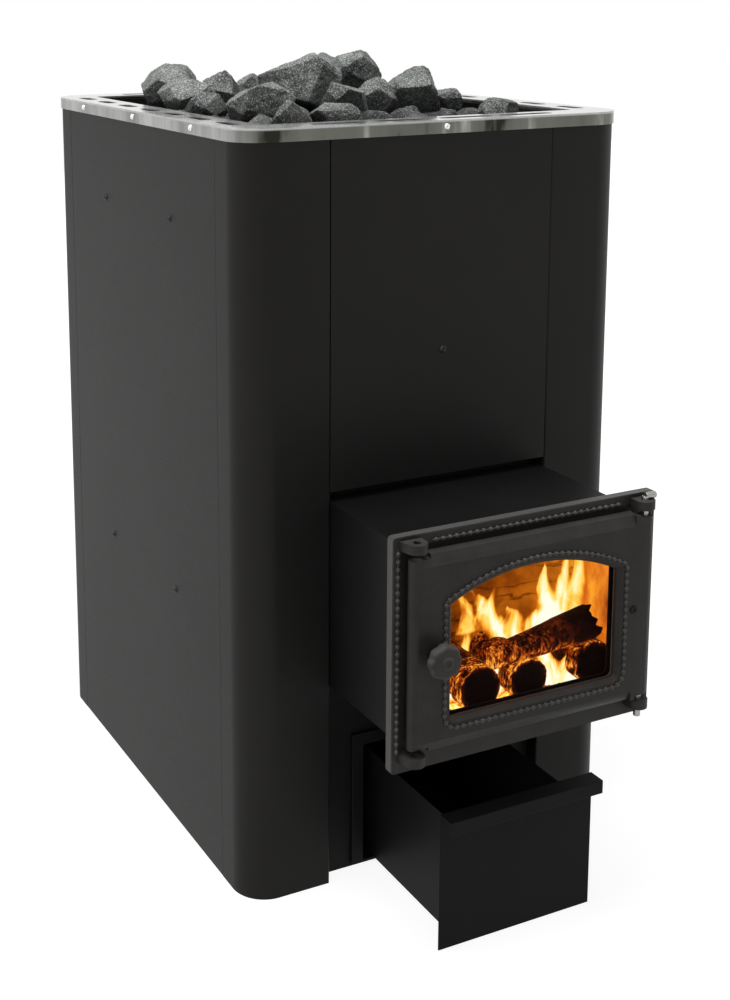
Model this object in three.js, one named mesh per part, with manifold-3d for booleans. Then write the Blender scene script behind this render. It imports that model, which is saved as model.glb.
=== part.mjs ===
// Wood-fired sauna heater that is fed through a tunnel: a sheet-steel casing with rounded corner posts,
// a stainless rim round a heap of stones, a cast-iron fire door on the tunnel, and an ash drawer below it.
// Millimetres, +Z up, front towards -Y. The origin is the middle of the casing's footprint on the floor.
import * as THREE from "three";
import { ConvexGeometry } from "three/addons/geometries/ConvexGeometry.js";
import { mergeVertices } from "three/addons/utils/BufferGeometryUtils.js";
import Module from "manifold-3d";

const wasm = await Module();
wasm.setup();

// Clearances
const fit = 0.3; // between pieces that touch
const cutThrough = 1; // how far a cutting tool runs past the face that it opens

// Casing of folded sheet
const casingWidth = 450;
const casingDepth = 550;
const casingHeight = 780; // floor to the lower edge of the rim
const casingSheet = 1.5;
const cornerRadius = 36;
const postFace = 95; // width of a post on the front and on the rear
const postReturn = 61; // how far a post runs round onto the side
const nicheDepth = 17.5; // the stove body stands back this far between the front posts
const frontPanelGap = 10; // open shadow line between the tunnel and the front panel
const basePlateThickness = 3;

// Stainless rim and the stone cradle inside it
const rimHeight = 13.5;
const rimSheet = 1.5;
const rimFlange = 42;
const rimFold = 12; // inner edge, folded down
const rimInnerRadius = 6;
const slotWidth = 14;
const sideSlotLength = 40;
const sideSlotPitch = 67.8;
const sideSlotCount = 7;
const frontSlotLength = 64;
const frontSlotPitch = 73;
const frontSlotCount = 4;
const cradleSheet = 3;
const cradleDepth = 165;
const cradleDrop = 4; // the cradle's edge lies this far under the rim's top

// Stove body
const bodySideMargin = 10; // the body's front plate reaches this far past the firebox
const bodyPlate = 3;
const fireboxSideGap = 65; // between the firebox and the outside of the side panel
const fireboxWall = 6;
const fireboxRearGap = 85; // between the firebox and the outside of the rear panel
const fireboxSill = 17; // the firebox floor lies this far below the tunnel's floor
const brickThickness = 25;
const brickFrontGap = 30;
const baffleDrop = 150; // from the firebox roof down to the baffle
const baffleThickness = 6;
const baffleLength = 220;
const flueRadius = 57.5;
const flueWall = 2.5;
const flueDrop = 80; // from the firebox roof down to the flue's axis
const flueStub = 25; // how far the collar stands out of the rear panel
const flueClearance = 2.5;
const grateLength = 200;
const grateWidth = 150;
const grateThickness = 12;
const grateLedge = 10;
const grateCentre = 195; // behind the body's front plane
const grateSlotWidth = 9;
const grateSlotPitch = 20;
const grateSlotCount = 6;
const grateEdge = 18;

// Tunnel, door frame and door
const tunnelBottom = 220;
const tunnelHeight = 197;
const tunnelLength = 162.5; // from the body's front plane to the back of the door frame
const tunnelWall = 2;
const frameSide = 20.3; // how far the frame reaches past the tunnel, at each side
const frameTop = 17;
const frameBottom = 17;
const frameThickness = 9;
const frameCornerRadius = 4;
const frameLap = 14.5; // how far the leaf laps the frame's opening at the sides
const frameLapEnds = 10; // and at the top and bottom
const rabbetDepth = 4; // the frame's face steps back round the leaf
const rabbetSide = 3.8; // from the leaf's edge to the rabbet's wall
const rabbetEnd = 5; // the same above and below the leaf
const lugHeight = 9;
const lugBoss = 10; // radius round the pin
const lugReach = 12.5; // from the pin outwards, where the lug runs out into the frame's face
const lugGap = 3; // between a lug and the leaf
const lugScoop = 4; // how much deeper the leaf is cut back round a lug
const lugScoopMargin = 3; // from the boss to the edge of that cut
const leafThickness = 16;
const leafGap = 1.5; // between the frame and the leaf
const leafSide = 12; // leaf's edge inside the frame's edge
const leafTop = 16;
const leafBottom = 23;
const bevelHeight = 10.5;
const bevelDepth = 5;
const windowSide = 43; // from the leaf's edge to the opening
const windowTop = 29;
const windowBottom = 28.5;
const archRise = 23;
const windowFlare = 4;
const windowCorner = 5;
const paneLap = 8;
const paneThickness = 4;
const gasketThickness = 2;
const gasketLap = 1;
const retainerThickness = 1.5;
const pinRadius = 3.5;
const pinSeat = 18; // how deep a pin goes into the leaf
const pinTail = 10; // how far a pin stands out of its lug
const pinHandle = 12;

// Knob, spindle and latch cam
const knobInset = 24; // from the leaf's edge to the knob's axis
const knobRadius = 17;
const knobNeckRadius = 8;
const knobNeck = 8;
const knobThickness = 14;
const fluteCount = 8;
const fluteDepth = 1.4;
const spindleRadius = 3.5;
const camGap = 0.6; // behind the frame
const camThickness = 5;
const camReach = 13.5;
const camTipRadius = 4.5;
const camHubRadius = 6;
const spindleTail = 1.4;

// Ash mouth, channel and drawer
const mouthSideGap = 12; // between the tray and the mouth's sides
const mouthTopGap = 12.5;
const mouthBorder = 14;
const mouthThickness = 4;
const channelSideGap = 27; // between the tray and the channel's walls
const channelSheet = 3;
const runnerLap = 10; // how far the channel's flanges reach under the tray
const channelRearGap = 40; // between the channel and the firebox's rear
const drawerReach = 165; // the pulled-out front stands this far before the body
const drawerWidth = 180;
const drawerTop = 144;
const drawerLift = 0.5;
const drawerSheet = 1.5;
const lipDepth = 17.5;
const lipDrop = 14;
const trayWidth = 140;
const trayTop = 125.5;
const trayLength = 330;
const traySheet = 1.2;

// Fire
const emberDepth = 8;
const emberLength = 190;
const emberMargin = 8;
const logLength = 230;
const logRadii = [23, 22, 24]; // right, middle, left
const logSteps = [6, 34, 11]; // clear gap from the wall, or from the log before
const logSetback = 12; // from the frame's back to the log ends
const crossLogRadius = 17;
const crossLogLength = 150;
const crossLogSetback = 24;
const crossLogTurn = 4; // degrees from square
const logTaper = 0.94;

// Stones: [across, along, lift, half width, half depth, half height, turn], where across and along are
// shares of the room that the cradle leaves, and lift is measured from the rim's top
const stoneGap = 0.014; // neighbours are cut with the stone enlarged by this share
const stoneClefts = 9; // planes that a stone of unit size is split along
const cleftJitter = 0.9;
const cleftNearest = 0.66;
const cleftSpread = 0.26;
const cleftSlant = 0.05; // a plane less square to a direction than this doesn't limit it
const stoneTip = 1.3; // the furthest that a unit stone may reach
const stoneRoom = 1.05; // share of a stone's half size kept free towards the cradle's walls
const bedDrop = 24; // the bed of small stones lies this far under the rim's top
const stones = {
  stone_rear_left: [-0.89, 0.80, 12, 40, 42, 31, 0.3],
  stone_left: [-0.54, 0.48, 8, 31, 29, 25, 1.1],
  stone_left_slab: [-0.91, 0.32, 5, 27, 33, 25, 0.5],
  stone_left_small: [-0.90, -0.02, -2, 23, 23, 20, 2.0],
  stone_rear_middle: [0.01, 0.85, 3, 27, 26, 23, 0.7],
  stone_peak: [0.11, 0.27, 18, 52, 47, 37, 0.2],
  stone_front_left: [-0.90, -0.61, 9, 34, 37, 28, 0.9],
  stone_front_block: [-0.84, -0.93, -4, 20, 19, 25, 0.1],
  stone_front_flat: [-0.55, -0.98, -1, 33, 22, 17, 0.2],
  stone_front_pointed: [-0.22, -0.63, 9, 25, 24, 23, 0.5],
  stone_rear_right_top: [0.73, 0.93, 22, 34, 32, 29, 1.4],
  stone_right_top: [0.80, 0.59, 22, 40, 36, 31, 0.6],
  stone_middle_right: [0.21, -0.38, 5, 24, 25, 26, 1.7],
  stone_right_large: [0.64, -0.35, 9, 41, 38, 29, 2.4],
  stone_right_small: [0.96, -0.17, -4, 20, 23, 22, 0.4],
  stone_right_low: [0.81, -0.93, -3, 29, 24, 16, 0.8],
};
const bedLumpPitch = 72;
const bedLumpRadius = 44;

// Levels and planes worked out from the sizes above
const halfWidth = casingWidth / 2;
const halfDepth = casingDepth / 2;
const nicheHalf = halfWidth - postFace;
const seam = halfDepth - postReturn;
const bodyFront = nicheDepth - halfDepth;
const bodyBack = bodyFront + bodyPlate;
const rimTop = casingHeight + rimHeight;
const sheetTop = rimTop - rimSheet - fit;
const rimHalfX = halfWidth + fit + rimSheet;
const rimHalfY = halfDepth + fit + rimSheet;
const rimSplit = halfDepth - cornerRadius;
const cradleHalfX = rimHalfX - rimFlange - fit;
const cradleHalfY = rimHalfY - rimFlange - fit;
const cradleBottom = rimTop - cradleDrop - cradleDepth;
const roomHalfX = cradleHalfX - cradleSheet - fit;
const roomHalfY = cradleHalfY - cradleSheet - fit;
const roofTop = cradleBottom - fit;
const roofBottom = roofTop - fireboxWall;
const fireboxHalf = halfWidth - fireboxSideGap;
const fireboxRear = halfDepth - fireboxRearGap;
const floorTop = tunnelBottom - fireboxSill;
const floorBottom = floorTop - fireboxWall;
const flueHeight = roofTop - flueDrop;
const baffleBottom = roofTop - baffleDrop;
const tunnelHalf = nicheHalf - fit;
const tunnelTop = tunnelBottom + tunnelHeight;
const frameBack = bodyFront - tunnelLength;
const frameFront = frameBack - frameThickness;
const frameHalf = tunnelHalf + frameSide;
const frameLow = tunnelBottom - frameBottom;
const frameHigh = tunnelTop + frameTop;
const leafHalf = frameHalf - leafSide;
const leafLow = frameLow + leafBottom;
const leafHigh = frameHigh - leafTop;
const leafBack = frameFront - leafGap;
const leafFront = leafBack - leafThickness;
const barrelRadius = leafThickness / 2;
const hingeX = leafHalf - barrelRadius;
const hingeY = leafBack - barrelRadius;
const windowHalf = leafHalf - windowSide;
const windowLow = leafLow + windowBottom;
const windowHigh = leafHigh - windowTop;
const knobX = knobInset - leafHalf;
const knobZ = (leafLow + leafHigh) / 2;
const drawerFront = bodyFront - drawerReach;
const drawerBack = drawerFront + drawerSheet;
const mouthFront = bodyFront - fit - mouthThickness;
const channelLow = basePlateThickness + fit;
const runnerTop = channelLow + channelSheet;
const trayHalf = trayWidth / 2;
const trayLow = runnerTop + fit;
const mouthHalf = trayHalf + mouthSideGap;
const mouthTop = trayTop + mouthTopGap;

// Solids: joining and cutting of closed meshes

function solidOf(geometry) {
  const bare = geometry.clone();
  bare.deleteAttribute("normal");
  bare.deleteAttribute("uv");
  const merged = mergeVertices(bare, 1e-4);
  return new wasm.Manifold(
    new wasm.Mesh({
      numProp: 3,
      vertProperties: new Float32Array(merged.attributes.position.array),
      triVerts: new Uint32Array(merged.index.array),
    }),
  );
}

function geometryOf(solid) {
  const mesh = solid.getMesh();
  const geometry = new THREE.BufferGeometry();
  geometry.setAttribute("position", new THREE.BufferAttribute(mesh.vertProperties, 3));
  geometry.setIndex(new THREE.BufferAttribute(mesh.triVerts, 1));
  return geometry;
}

function cut(geometry, ...tools) {
  return geometryOf(tools.reduce((left, tool) => left.subtract(solidOf(tool)), solidOf(geometry)));
}

function join(geometry, ...others) {
  return geometryOf(others.reduce((whole, other) => whole.add(solidOf(other)), solidOf(geometry)));
}

function common(geometry, other) {
  return geometryOf(solidOf(geometry).intersect(solidOf(other)));
}

// Of the bodies that a cut leaves, only the largest is kept
function largestBody(geometry) {
  const bodies = solidOf(geometry).decompose();
  return geometryOf(bodies.reduce((a, b) => (b.volume() > a.volume() ? b : a)));
}

// Outlines and the solids raised on them

function rectangle(x0, y0, x1, y1) {
  const corners = [[x0, y0], [x1, y0], [x1, y1], [x0, y1]];
  return corners.map(([x, y]) => new THREE.Vector2(x, y));
}

function arc(x, y, radius, start, end, steps) {
  return Array.from({ length: steps + 1 }, (_, i) => {
    const angle = start + ((end - start) * i) / steps;
    return new THREE.Vector2(x + radius * Math.cos(angle), y + radius * Math.sin(angle));
  });
}

function roundedRectangle(x0, y0, x1, y1, radius, steps = 6) {
  const quarter = Math.PI / 2;
  return [
    ...arc(x1 - radius, y1 - radius, radius, 0, quarter, steps),
    ...arc(x0 + radius, y1 - radius, radius, quarter, 2 * quarter, steps),
    ...arc(x0 + radius, y0 + radius, radius, 2 * quarter, 3 * quarter, steps),
    ...arc(x1 - radius, y0 + radius, radius, 3 * quarter, 4 * quarter, steps),
  ];
}

function circle(x, y, radius, steps = 24) {
  return arc(x, y, radius, 0, 2 * Math.PI, steps).slice(0, -1);
}

function shapeOf(outline, holes = []) {
  const shape = new THREE.Shape(outline);
  shape.holes = holes.map((hole) => new THREE.Path(hole));
  return shape;
}

// Plan outline in X and Y, raised from z0 to z1
function upright(outline, z0, z1, holes = []) {
  const options = { depth: z1 - z0, bevelEnabled: false };
  return new THREE.ExtrudeGeometry(shapeOf(outline, holes), options).translate(0, 0, z0);
}

// Front outline in X and Z, from the plane yBack forward to the plane yFront
function facing(outline, yBack, yFront, holes = []) {
  const options = { depth: yBack - yFront, bevelEnabled: false };
  const raised = new THREE.ExtrudeGeometry(shapeOf(outline, holes), options);
  return raised.rotateX(Math.PI / 2).translate(0, yBack, 0);
}

// Side outline in Y and Z, from x0 to x1
function sideways(outline, x0, x1) {
  const options = { depth: x1 - x0, bevelEnabled: false };
  const turn = new THREE.Matrix4().makeBasis(
    new THREE.Vector3(0, 1, 0),
    new THREE.Vector3(0, 0, 1),
    new THREE.Vector3(1, 0, 0),
  );
  return new THREE.ExtrudeGeometry(shapeOf(outline), options).applyMatrix4(turn).translate(x0, 0, 0);
}

function block(x0, x1, y0, y1, z0, z1) {
  return upright(rectangle(x0, y0, x1, y1), z0, z1);
}

// Skin over a stack of outlines with equally many points, each at its own height, closed at both ends
function loft(outlines, heights) {
  const count = outlines[0].length;
  const last = (outlines.length - 1) * count;
  const positions = outlines.flatMap((outline, level) => outline.flatMap((p) => [p.x, p.y, heights[level]]));
  const index = [];
  for (let level = 0; level + 1 < outlines.length; level += 1) {
    for (let i = 0; i < count; i += 1) {
      const a = level * count + i;
      const b = level * count + ((i + 1) % count);
      index.push(a, b, b + count, a, b + count, a + count);
    }
  }
  for (const [a, b, c] of THREE.ShapeUtils.triangulateShape(outlines[0], [])) {
    index.push(a, c, b);
  }
  for (const [a, b, c] of THREE.ShapeUtils.triangulateShape(outlines.at(-1), [])) {
    index.push(last + a, last + b, last + c);
  }
  const geometry = new THREE.BufferGeometry();
  geometry.setAttribute("position", new THREE.Float32BufferAttribute(positions, 3));
  geometry.setIndex(index);
  return geometry;
}

// Loft whose heights run forward from the plane yBack
function facingLoft(outlines, heights, yBack) {
  return loft(outlines, heights).rotateX(Math.PI / 2).translate(0, yBack, 0);
}

// Finishes

function finish(color, roughness, metalness) {
  return new THREE.MeshStandardMaterial({ color, roughness, metalness });
}

const casingPaint = finish(0x2b2a29, 0.62, 0.3);
const bodySteel = finish(0x1d1c1c, 0.7, 0.3);
const stainless = finish(0xc9c9c6, 0.16, 1);
const castIron = finish(0x3a3835, 0.6, 0.4);
const pinSteel = finish(0xb4b2ad, 0.3, 1);
const paneGlass = finish(0x3a2a1e, 0.05, 0);
const gasketRope = finish(0xcfcabc, 0.9, 0);
const fireBrick = finish(0xb98a5e, 0.9, 0);
const drawerPaint = finish(0x262626, 0.58, 0.3);
const charredWood = finish(0x2a1710, 0.9, 0);
const ember = finish(0xe2570f, 0.9, 0);
const stoneGrey = finish(0x5c6061, 0.9, 0);

const heater = new THREE.Group();

function piece(name, geometry, material) {
  const mesh = new THREE.Mesh(geometry, material);
  mesh.name = name;
  heater.add(mesh);
  return mesh;
}

// Casing: posts at the four corners, with panels between them

function postOutline(side, end) {
  const innerRadius = cornerRadius - casingSheet;
  const centreX = halfWidth - cornerRadius;
  const centreY = halfDepth - cornerRadius;
  const quarter = Math.PI / 2;
  const lipEnd = halfDepth - nicheDepth + fit;
  const corner = [
    new THREE.Vector2(halfWidth, seam),
    ...arc(centreX, centreY, cornerRadius, 0, quarter, 8),
    new THREE.Vector2(nicheHalf, halfDepth),
    new THREE.Vector2(nicheHalf, lipEnd),
    new THREE.Vector2(nicheHalf + casingSheet, lipEnd),
    new THREE.Vector2(nicheHalf + casingSheet, halfDepth - casingSheet),
    ...arc(centreX, centreY, innerRadius, quarter, 0, 8),
    new THREE.Vector2(halfWidth - casingSheet, seam),
  ];
  return corner.map((p) => new THREE.Vector2(side * p.x, end * p.y));
}

const corners = {
  post_front_left: [-1, -1],
  post_front_right: [1, -1],
  post_rear_left: [-1, 1],
  post_rear_right: [1, 1],
};
for (const [name, [side, end]] of Object.entries(corners)) {
  piece(name, upright(postOutline(side, end), 0, sheetTop), casingPaint);
}

const sidePanelHalf = seam - fit;
for (const [name, side] of [["side_panel_left", -1], ["side_panel_right", 1]]) {
  const inner = side * (halfWidth - casingSheet);
  const outer = side * halfWidth;
  const [x0, x1] = [Math.min(inner, outer), Math.max(inner, outer)];
  piece(name, block(x0, x1, -sidePanelHalf, sidePanelHalf, 0, sheetTop), casingPaint);
}

// The front panel hangs between the posts, with its lower edge folded back to the stove body
const frontPanelHalf = nicheHalf - fit;
const frontPanelLow = tunnelTop + frontPanelGap;
const frontPanelProfile = [
  new THREE.Vector2(-halfDepth, frontPanelLow),
  new THREE.Vector2(bodyFront - fit, frontPanelLow),
  new THREE.Vector2(bodyFront - fit, frontPanelLow + casingSheet),
  new THREE.Vector2(-halfDepth + casingSheet, frontPanelLow + casingSheet),
  new THREE.Vector2(-halfDepth + casingSheet, sheetTop),
  new THREE.Vector2(-halfDepth, sheetTop),
];
piece("front_panel", sideways(frontPanelProfile, -frontPanelHalf, frontPanelHalf), casingPaint);

const flueHole = circle(0, flueHeight, flueRadius + flueClearance, 32);
const rearPanelOutline = rectangle(-frontPanelHalf, 0, frontPanelHalf, sheetTop);
piece("rear_panel", facing(rearPanelOutline, halfDepth, halfDepth - casingSheet, [flueHole]), casingPaint);

// The base plate ties the casing and the stove body together at the floor
const baseHalfX = halfWidth - casingSheet - fit;
const baseRear = halfDepth - nicheDepth;
const baseRadius = cornerRadius - casingSheet - fit;
const baseOutline = roundedRectangle(-baseHalfX, bodyFront, baseHalfX, baseRear, baseRadius);
piece("base_plate", upright(baseOutline, 0, basePlateThickness), bodySteel);

// Rim: a skirt round the casing, a slotted flange and an inner fold, with a separate strip at the rear

function slotOutline(x, y, lengthX, lengthY) {
  const radius = Math.min(lengthX, lengthY) / 2;
  return roundedRectangle(x - lengthX / 2, y - lengthY / 2, x + lengthX / 2, y + lengthY / 2, radius, 4);
}

function evenly(count, pitch) {
  return Array.from({ length: count }, (_, i) => (i - (count - 1) / 2) * pitch);
}

const rimRadius = cornerRadius + fit + rimSheet;
const rimOutline = roundedRectangle(-rimHalfX, -rimHalfY, rimHalfX, rimHalfY, rimRadius, 8);
const skirtInside = roundedRectangle(
  rimSheet - rimHalfX,
  rimSheet - rimHalfY,
  rimHalfX - rimSheet,
  rimHalfY - rimSheet,
  rimRadius - rimSheet,
  8,
);
const rimMouthX = rimHalfX - rimFlange;
const rimMouthY = rimHalfY - rimFlange;
const rimMouth = roundedRectangle(-rimMouthX, -rimMouthY, rimMouthX, rimMouthY, rimInnerRadius);
const foldOutside = roundedRectangle(
  -rimMouthX - rimSheet,
  -rimMouthY - rimSheet,
  rimMouthX + rimSheet,
  rimMouthY + rimSheet,
  rimInnerRadius + rimSheet,
);
const slotLineX = rimHalfX - rimFlange / 2;
const slotLineY = rimHalfY - rimFlange / 2;
const rimSlots = [
  ...evenly(sideSlotCount, sideSlotPitch).flatMap((y) => [
    slotOutline(-slotLineX, y, slotWidth, sideSlotLength),
    slotOutline(slotLineX, y, slotWidth, sideSlotLength),
  ]),
  ...evenly(frontSlotCount, frontSlotPitch).flatMap((x) => [
    slotOutline(x, -slotLineY, frontSlotLength, slotWidth),
    slotOutline(x, slotLineY, frontSlotLength, slotWidth),
  ]),
];
const rimWhole = join(
  upright(rimOutline, casingHeight, rimTop, [skirtInside]),
  upright(rimOutline, rimTop - rimSheet, rimTop, [rimMouth, ...rimSlots]),
  upright(foldOutside, rimTop - rimFold, rimTop, [rimMouth]),
);

function rimRearOf(start) {
  const past = rimHalfX + cutThrough;
  return block(-past, past, start, rimHalfY + cutThrough, casingHeight - cutThrough, rimTop + cutThrough);
}

piece("rim_frame", cut(rimWhole, rimRearOf(rimSplit)), stainless);
piece("rim_rear_strip", common(rimWhole, rimRearOf(rimSplit + fit)), stainless);

// Stone cradle: an open tub inside the rim, standing on the firebox roof
const tubOutline = roundedRectangle(-cradleHalfX, -cradleHalfY, cradleHalfX, cradleHalfY, rimInnerRadius);
const tub = upright(tubOutline, cradleBottom, rimTop - cradleDrop);
const tubInsideX = cradleHalfX - cradleSheet;
const tubInsideY = cradleHalfY - cradleSheet;
const tubFloor = cradleBottom + cradleSheet;
const tubInsideRadius = Math.max(rimInnerRadius - cradleSheet, fit);
const tubInsideOutline = roundedRectangle(-tubInsideX, -tubInsideY, tubInsideX, tubInsideY, tubInsideRadius);
const tubInside = upright(tubInsideOutline, tubFloor, rimTop);
piece("stone_cradle", cut(tub, tubInside), bodySteel);

// Stove body: front plate, firebox of thick plate, flue collar
const bodyHalf = fireboxHalf + bodySideMargin;
const tunnelHole = rectangle(-tunnelHalf - fit, tunnelBottom - fit, tunnelHalf + fit, tunnelTop + fit);
const mouthHole = rectangle(-mouthHalf, runnerTop, mouthHalf, mouthTop);
const bodyOutline = rectangle(-bodyHalf, channelLow, bodyHalf, roofTop);
piece("body_front_plate", facing(bodyOutline, bodyBack, bodyFront, [tunnelHole, mouthHole]), bodySteel);

const fireboxFront = bodyBack + fit;
const grateMiddle = bodyFront + grateCentre;
const grateHole = rectangle(
  grateLedge - grateWidth / 2,
  grateMiddle + grateLedge - grateLength / 2,
  grateWidth / 2 - grateLedge,
  grateMiddle - grateLedge + grateLength / 2,
);
const fireboxPlan = rectangle(-fireboxHalf, fireboxFront, fireboxHalf, fireboxRear);
piece("firebox_floor", upright(fireboxPlan, floorBottom, floorTop, [grateHole]), bodySteel);
piece("firebox_roof", upright(fireboxPlan, roofBottom, roofTop), bodySteel);

const wallInside = fireboxHalf - fireboxWall;
const rearInside = fireboxRear - fireboxWall;
const shellPlan = [
  new THREE.Vector2(-fireboxHalf, fireboxFront),
  new THREE.Vector2(-wallInside, fireboxFront),
  new THREE.Vector2(-wallInside, rearInside),
  new THREE.Vector2(wallInside, rearInside),
  new THREE.Vector2(wallInside, fireboxFront),
  new THREE.Vector2(fireboxHalf, fireboxFront),
  new THREE.Vector2(fireboxHalf, fireboxRear),
  new THREE.Vector2(-fireboxHalf, fireboxRear),
];
const flueSeat = circle(0, flueHeight, flueRadius + fit, 32);
const flueCutter = facing(flueSeat, fireboxRear + cutThrough, rearInside - cutThrough);
piece("firebox_shell", cut(upright(shellPlan, floorTop + fit, roofBottom - fit), flueCutter), bodySteel);

const flueOutline = circle(0, flueHeight, flueRadius, 32);
const flueBore = circle(0, flueHeight, flueRadius - flueWall, 32);
piece("flue_collar", facing(flueOutline, halfDepth + flueStub, rearInside, [flueBore]), bodySteel);

// Fire bricks stand on the floor plate and carry the baffle
const brickLow = floorTop + fit;
const brickHigh = baffleBottom - fit;
const brickOuter = wallInside - fit;
const brickInner = brickOuter - brickThickness;
const rearBrickBack = rearInside - fit;
const rearBrickFront = rearBrickBack - brickThickness;
const sideBrickFront = fireboxFront + brickFrontGap;
const sideBrickBack = rearBrickFront - fit;
const brick = (x0, x1, y0, y1) => block(x0, x1, y0, y1, brickLow, brickHigh);
piece("fire_brick_left", brick(-brickOuter, -brickInner, sideBrickFront, sideBrickBack), fireBrick);
piece("fire_brick_right", brick(brickInner, brickOuter, sideBrickFront, sideBrickBack), fireBrick);
piece("fire_brick_rear", brick(-brickOuter, brickOuter, rearBrickFront, rearBrickBack), fireBrick);
const baffleFront = rearBrickBack - baffleLength;
const baffleTop = baffleBottom + baffleThickness;
const baffle = block(-brickOuter, brickOuter, baffleFront, rearBrickBack, baffleBottom, baffleTop);
piece("baffle_plate", baffle, bodySteel);

const grateOutline = rectangle(
  -grateWidth / 2,
  grateMiddle - grateLength / 2,
  grateWidth / 2,
  grateMiddle + grateLength / 2,
);
const grateSlots = evenly(grateSlotCount, grateSlotPitch).map((x) =>
  slotOutline(x, grateMiddle, grateSlotWidth, grateLength - 2 * grateEdge),
);
piece("grate", upright(grateOutline, floorTop + fit, floorTop + fit + grateThickness, grateSlots), castIron);

// Ash channel: a folded U that carries the firebox, with flanges that the drawer's tray runs on
const channelInside = trayHalf + channelSideGap;
const channelHalf = channelInside + channelSheet;
const channelRear = fireboxRear - channelRearGap;
const channelPlan = [
  new THREE.Vector2(-channelHalf, fireboxFront),
  new THREE.Vector2(-channelInside, fireboxFront),
  new THREE.Vector2(-channelInside, channelRear - channelSheet),
  new THREE.Vector2(channelInside, channelRear - channelSheet),
  new THREE.Vector2(channelInside, fireboxFront),
  new THREE.Vector2(channelHalf, fireboxFront),
  new THREE.Vector2(channelHalf, channelRear),
  new THREE.Vector2(-channelHalf, channelRear),
];
const runnerInside = trayHalf - runnerLap;
const channel = join(
  upright(channelPlan, channelLow, floorBottom - fit),
  block(-channelHalf, -runnerInside, fireboxFront, channelRear, channelLow, runnerTop),
  block(runnerInside, channelHalf, fireboxFront, channelRear, channelLow, runnerTop),
);
piece("ash_channel", channel, bodySteel);

const mouthFrameHalf = mouthHalf + mouthBorder;
const mouthFrameOutline = rectangle(-mouthFrameHalf, channelLow, mouthFrameHalf, mouthTop + mouthBorder);
piece("ash_mouth_frame", facing(mouthFrameOutline, bodyFront - fit, mouthFront, [mouthHole]), bodySteel);

// Tunnel and door frame; the frame's lugs are cast on, and only the right-hand pair holds pins
const tunnelOutline = rectangle(-tunnelHalf, tunnelBottom, tunnelHalf, tunnelTop);
const tunnelInside = tunnelHalf - tunnelWall;
const tunnelFloor = tunnelBottom + tunnelWall;
const tunnelBore = rectangle(-tunnelInside, tunnelFloor, tunnelInside, tunnelTop - tunnelWall);
piece("fire_tunnel", facing(tunnelOutline, bodyBack, frameBack + fit, [tunnelBore]), bodySteel);

const frameOutline = roundedRectangle(-frameHalf, frameLow, frameHalf, frameHigh, frameCornerRadius, 3);
const openingHalf = leafHalf - frameLap;
const openingLow = leafLow + frameLapEnds;
const openingHigh = leafHigh - frameLapEnds;
const openingRadius = frameCornerRadius;
const frameOpening = roundedRectangle(-openingHalf, openingLow, openingHalf, openingHigh, openingRadius, 3);
const rabbet = rectangle(
  -leafHalf - rabbetSide,
  leafLow - rabbetEnd,
  leafHalf + rabbetSide,
  leafHigh + rabbetEnd,
);
const rabbetFloor = frameFront + rabbetDepth;
const upperLugLow = leafHigh + lugGap;
const lowerLugHigh = leafLow - lugGap;

// A lug is a round boss about the pin's axis; outwards its front runs straight into the frame's face
function lug(side, low) {
  const root = rabbetFloor + cutThrough;
  const runOut = new THREE.Vector2(hingeX + lugReach, frameFront);
  const toRunOut = runOut.clone().sub(new THREE.Vector2(hingeX, hingeY));
  const tangent = toRunOut.angle() - Math.acos(lugBoss / toRunOut.length());
  const plan = [
    new THREE.Vector2(runOut.x, root),
    new THREE.Vector2(hingeX - lugBoss, root),
    ...arc(hingeX, hingeY, lugBoss, Math.PI, 2 * Math.PI + tangent, 14),
    runOut,
  ];
  const pinHole = circle(side * hingeX, hingeY, pinRadius + fit, 20);
  return upright(plan.map((p) => new THREE.Vector2(side * p.x, p.y)), low, low + lugHeight, [pinHole]);
}

const doorFrame = join(
  cut(
    facing(frameOutline, frameBack, frameFront, [frameOpening]),
    facing(rabbet, rabbetFloor, frameFront - cutThrough),
  ),
  ...[-1, 1].flatMap((side) => [lug(side, upperLugLow), lug(side, lowerLugHigh - lugHeight)]),
);
piece("door_frame", doorFrame, castIron);

function pin(z0, z1) {
  return upright(circle(hingeX, hingeY, pinRadius, 20), z0, z1);
}

// The upper pin's head is bent over as a grip for pulling it out
const pinHead = upperLugLow + lugHeight + 2 * pinRadius;
const pinGrip = sideways(circle(hingeY, pinHead - pinRadius, pinRadius, 20), hingeX, hingeX + pinHandle);
piece("hinge_pin_upper", join(pin(leafHigh - pinSeat, pinHead - pinRadius), pinGrip), pinSteel);
piece("hinge_pin_lower", pin(lowerLugHigh - lugHeight - pinTail, leafLow + pinSeat), pinSteel);

// Door leaf: a cast plate with round edges, bevelled along its top and bottom, with a flared arched window

function windowOutline(grow) {
  const radius = (windowHalf * windowHalf + archRise * archRise) / (2 * archRise);
  const centre = windowHigh - radius;
  const half = windowHalf + grow;
  const low = windowLow - grow;
  const spread = Math.asin(half / (radius + grow));
  const quarter = Math.PI / 2;
  const corner = windowCorner + grow;
  return [
    ...arc(0, centre, radius + grow, quarter - spread, quarter + spread, 20),
    ...arc(corner - half, low + corner, corner, 2 * quarter, 3 * quarter, 4),
    ...arc(half - corner, low + corner, corner, 3 * quarter, 4 * quarter, 4),
  ];
}

function bevelCutter(edge, towards) {
  const overshoot = 0.2;
  const stepY = bevelDepth;
  const stepZ = bevelHeight * towards;
  const outer = new THREE.Vector2(leafFront + stepY * (1 + overshoot), edge + stepZ * overshoot);
  const inner = new THREE.Vector2(leafFront - stepY * overshoot, edge - stepZ * (1 + overshoot));
  const corner = new THREE.Vector2(inner.x, outer.y);
  const pinSide = hingeX - 2 * barrelRadius;
  return sideways([outer, inner, corner], -leafHalf - cutThrough, pinSide);
}

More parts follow.
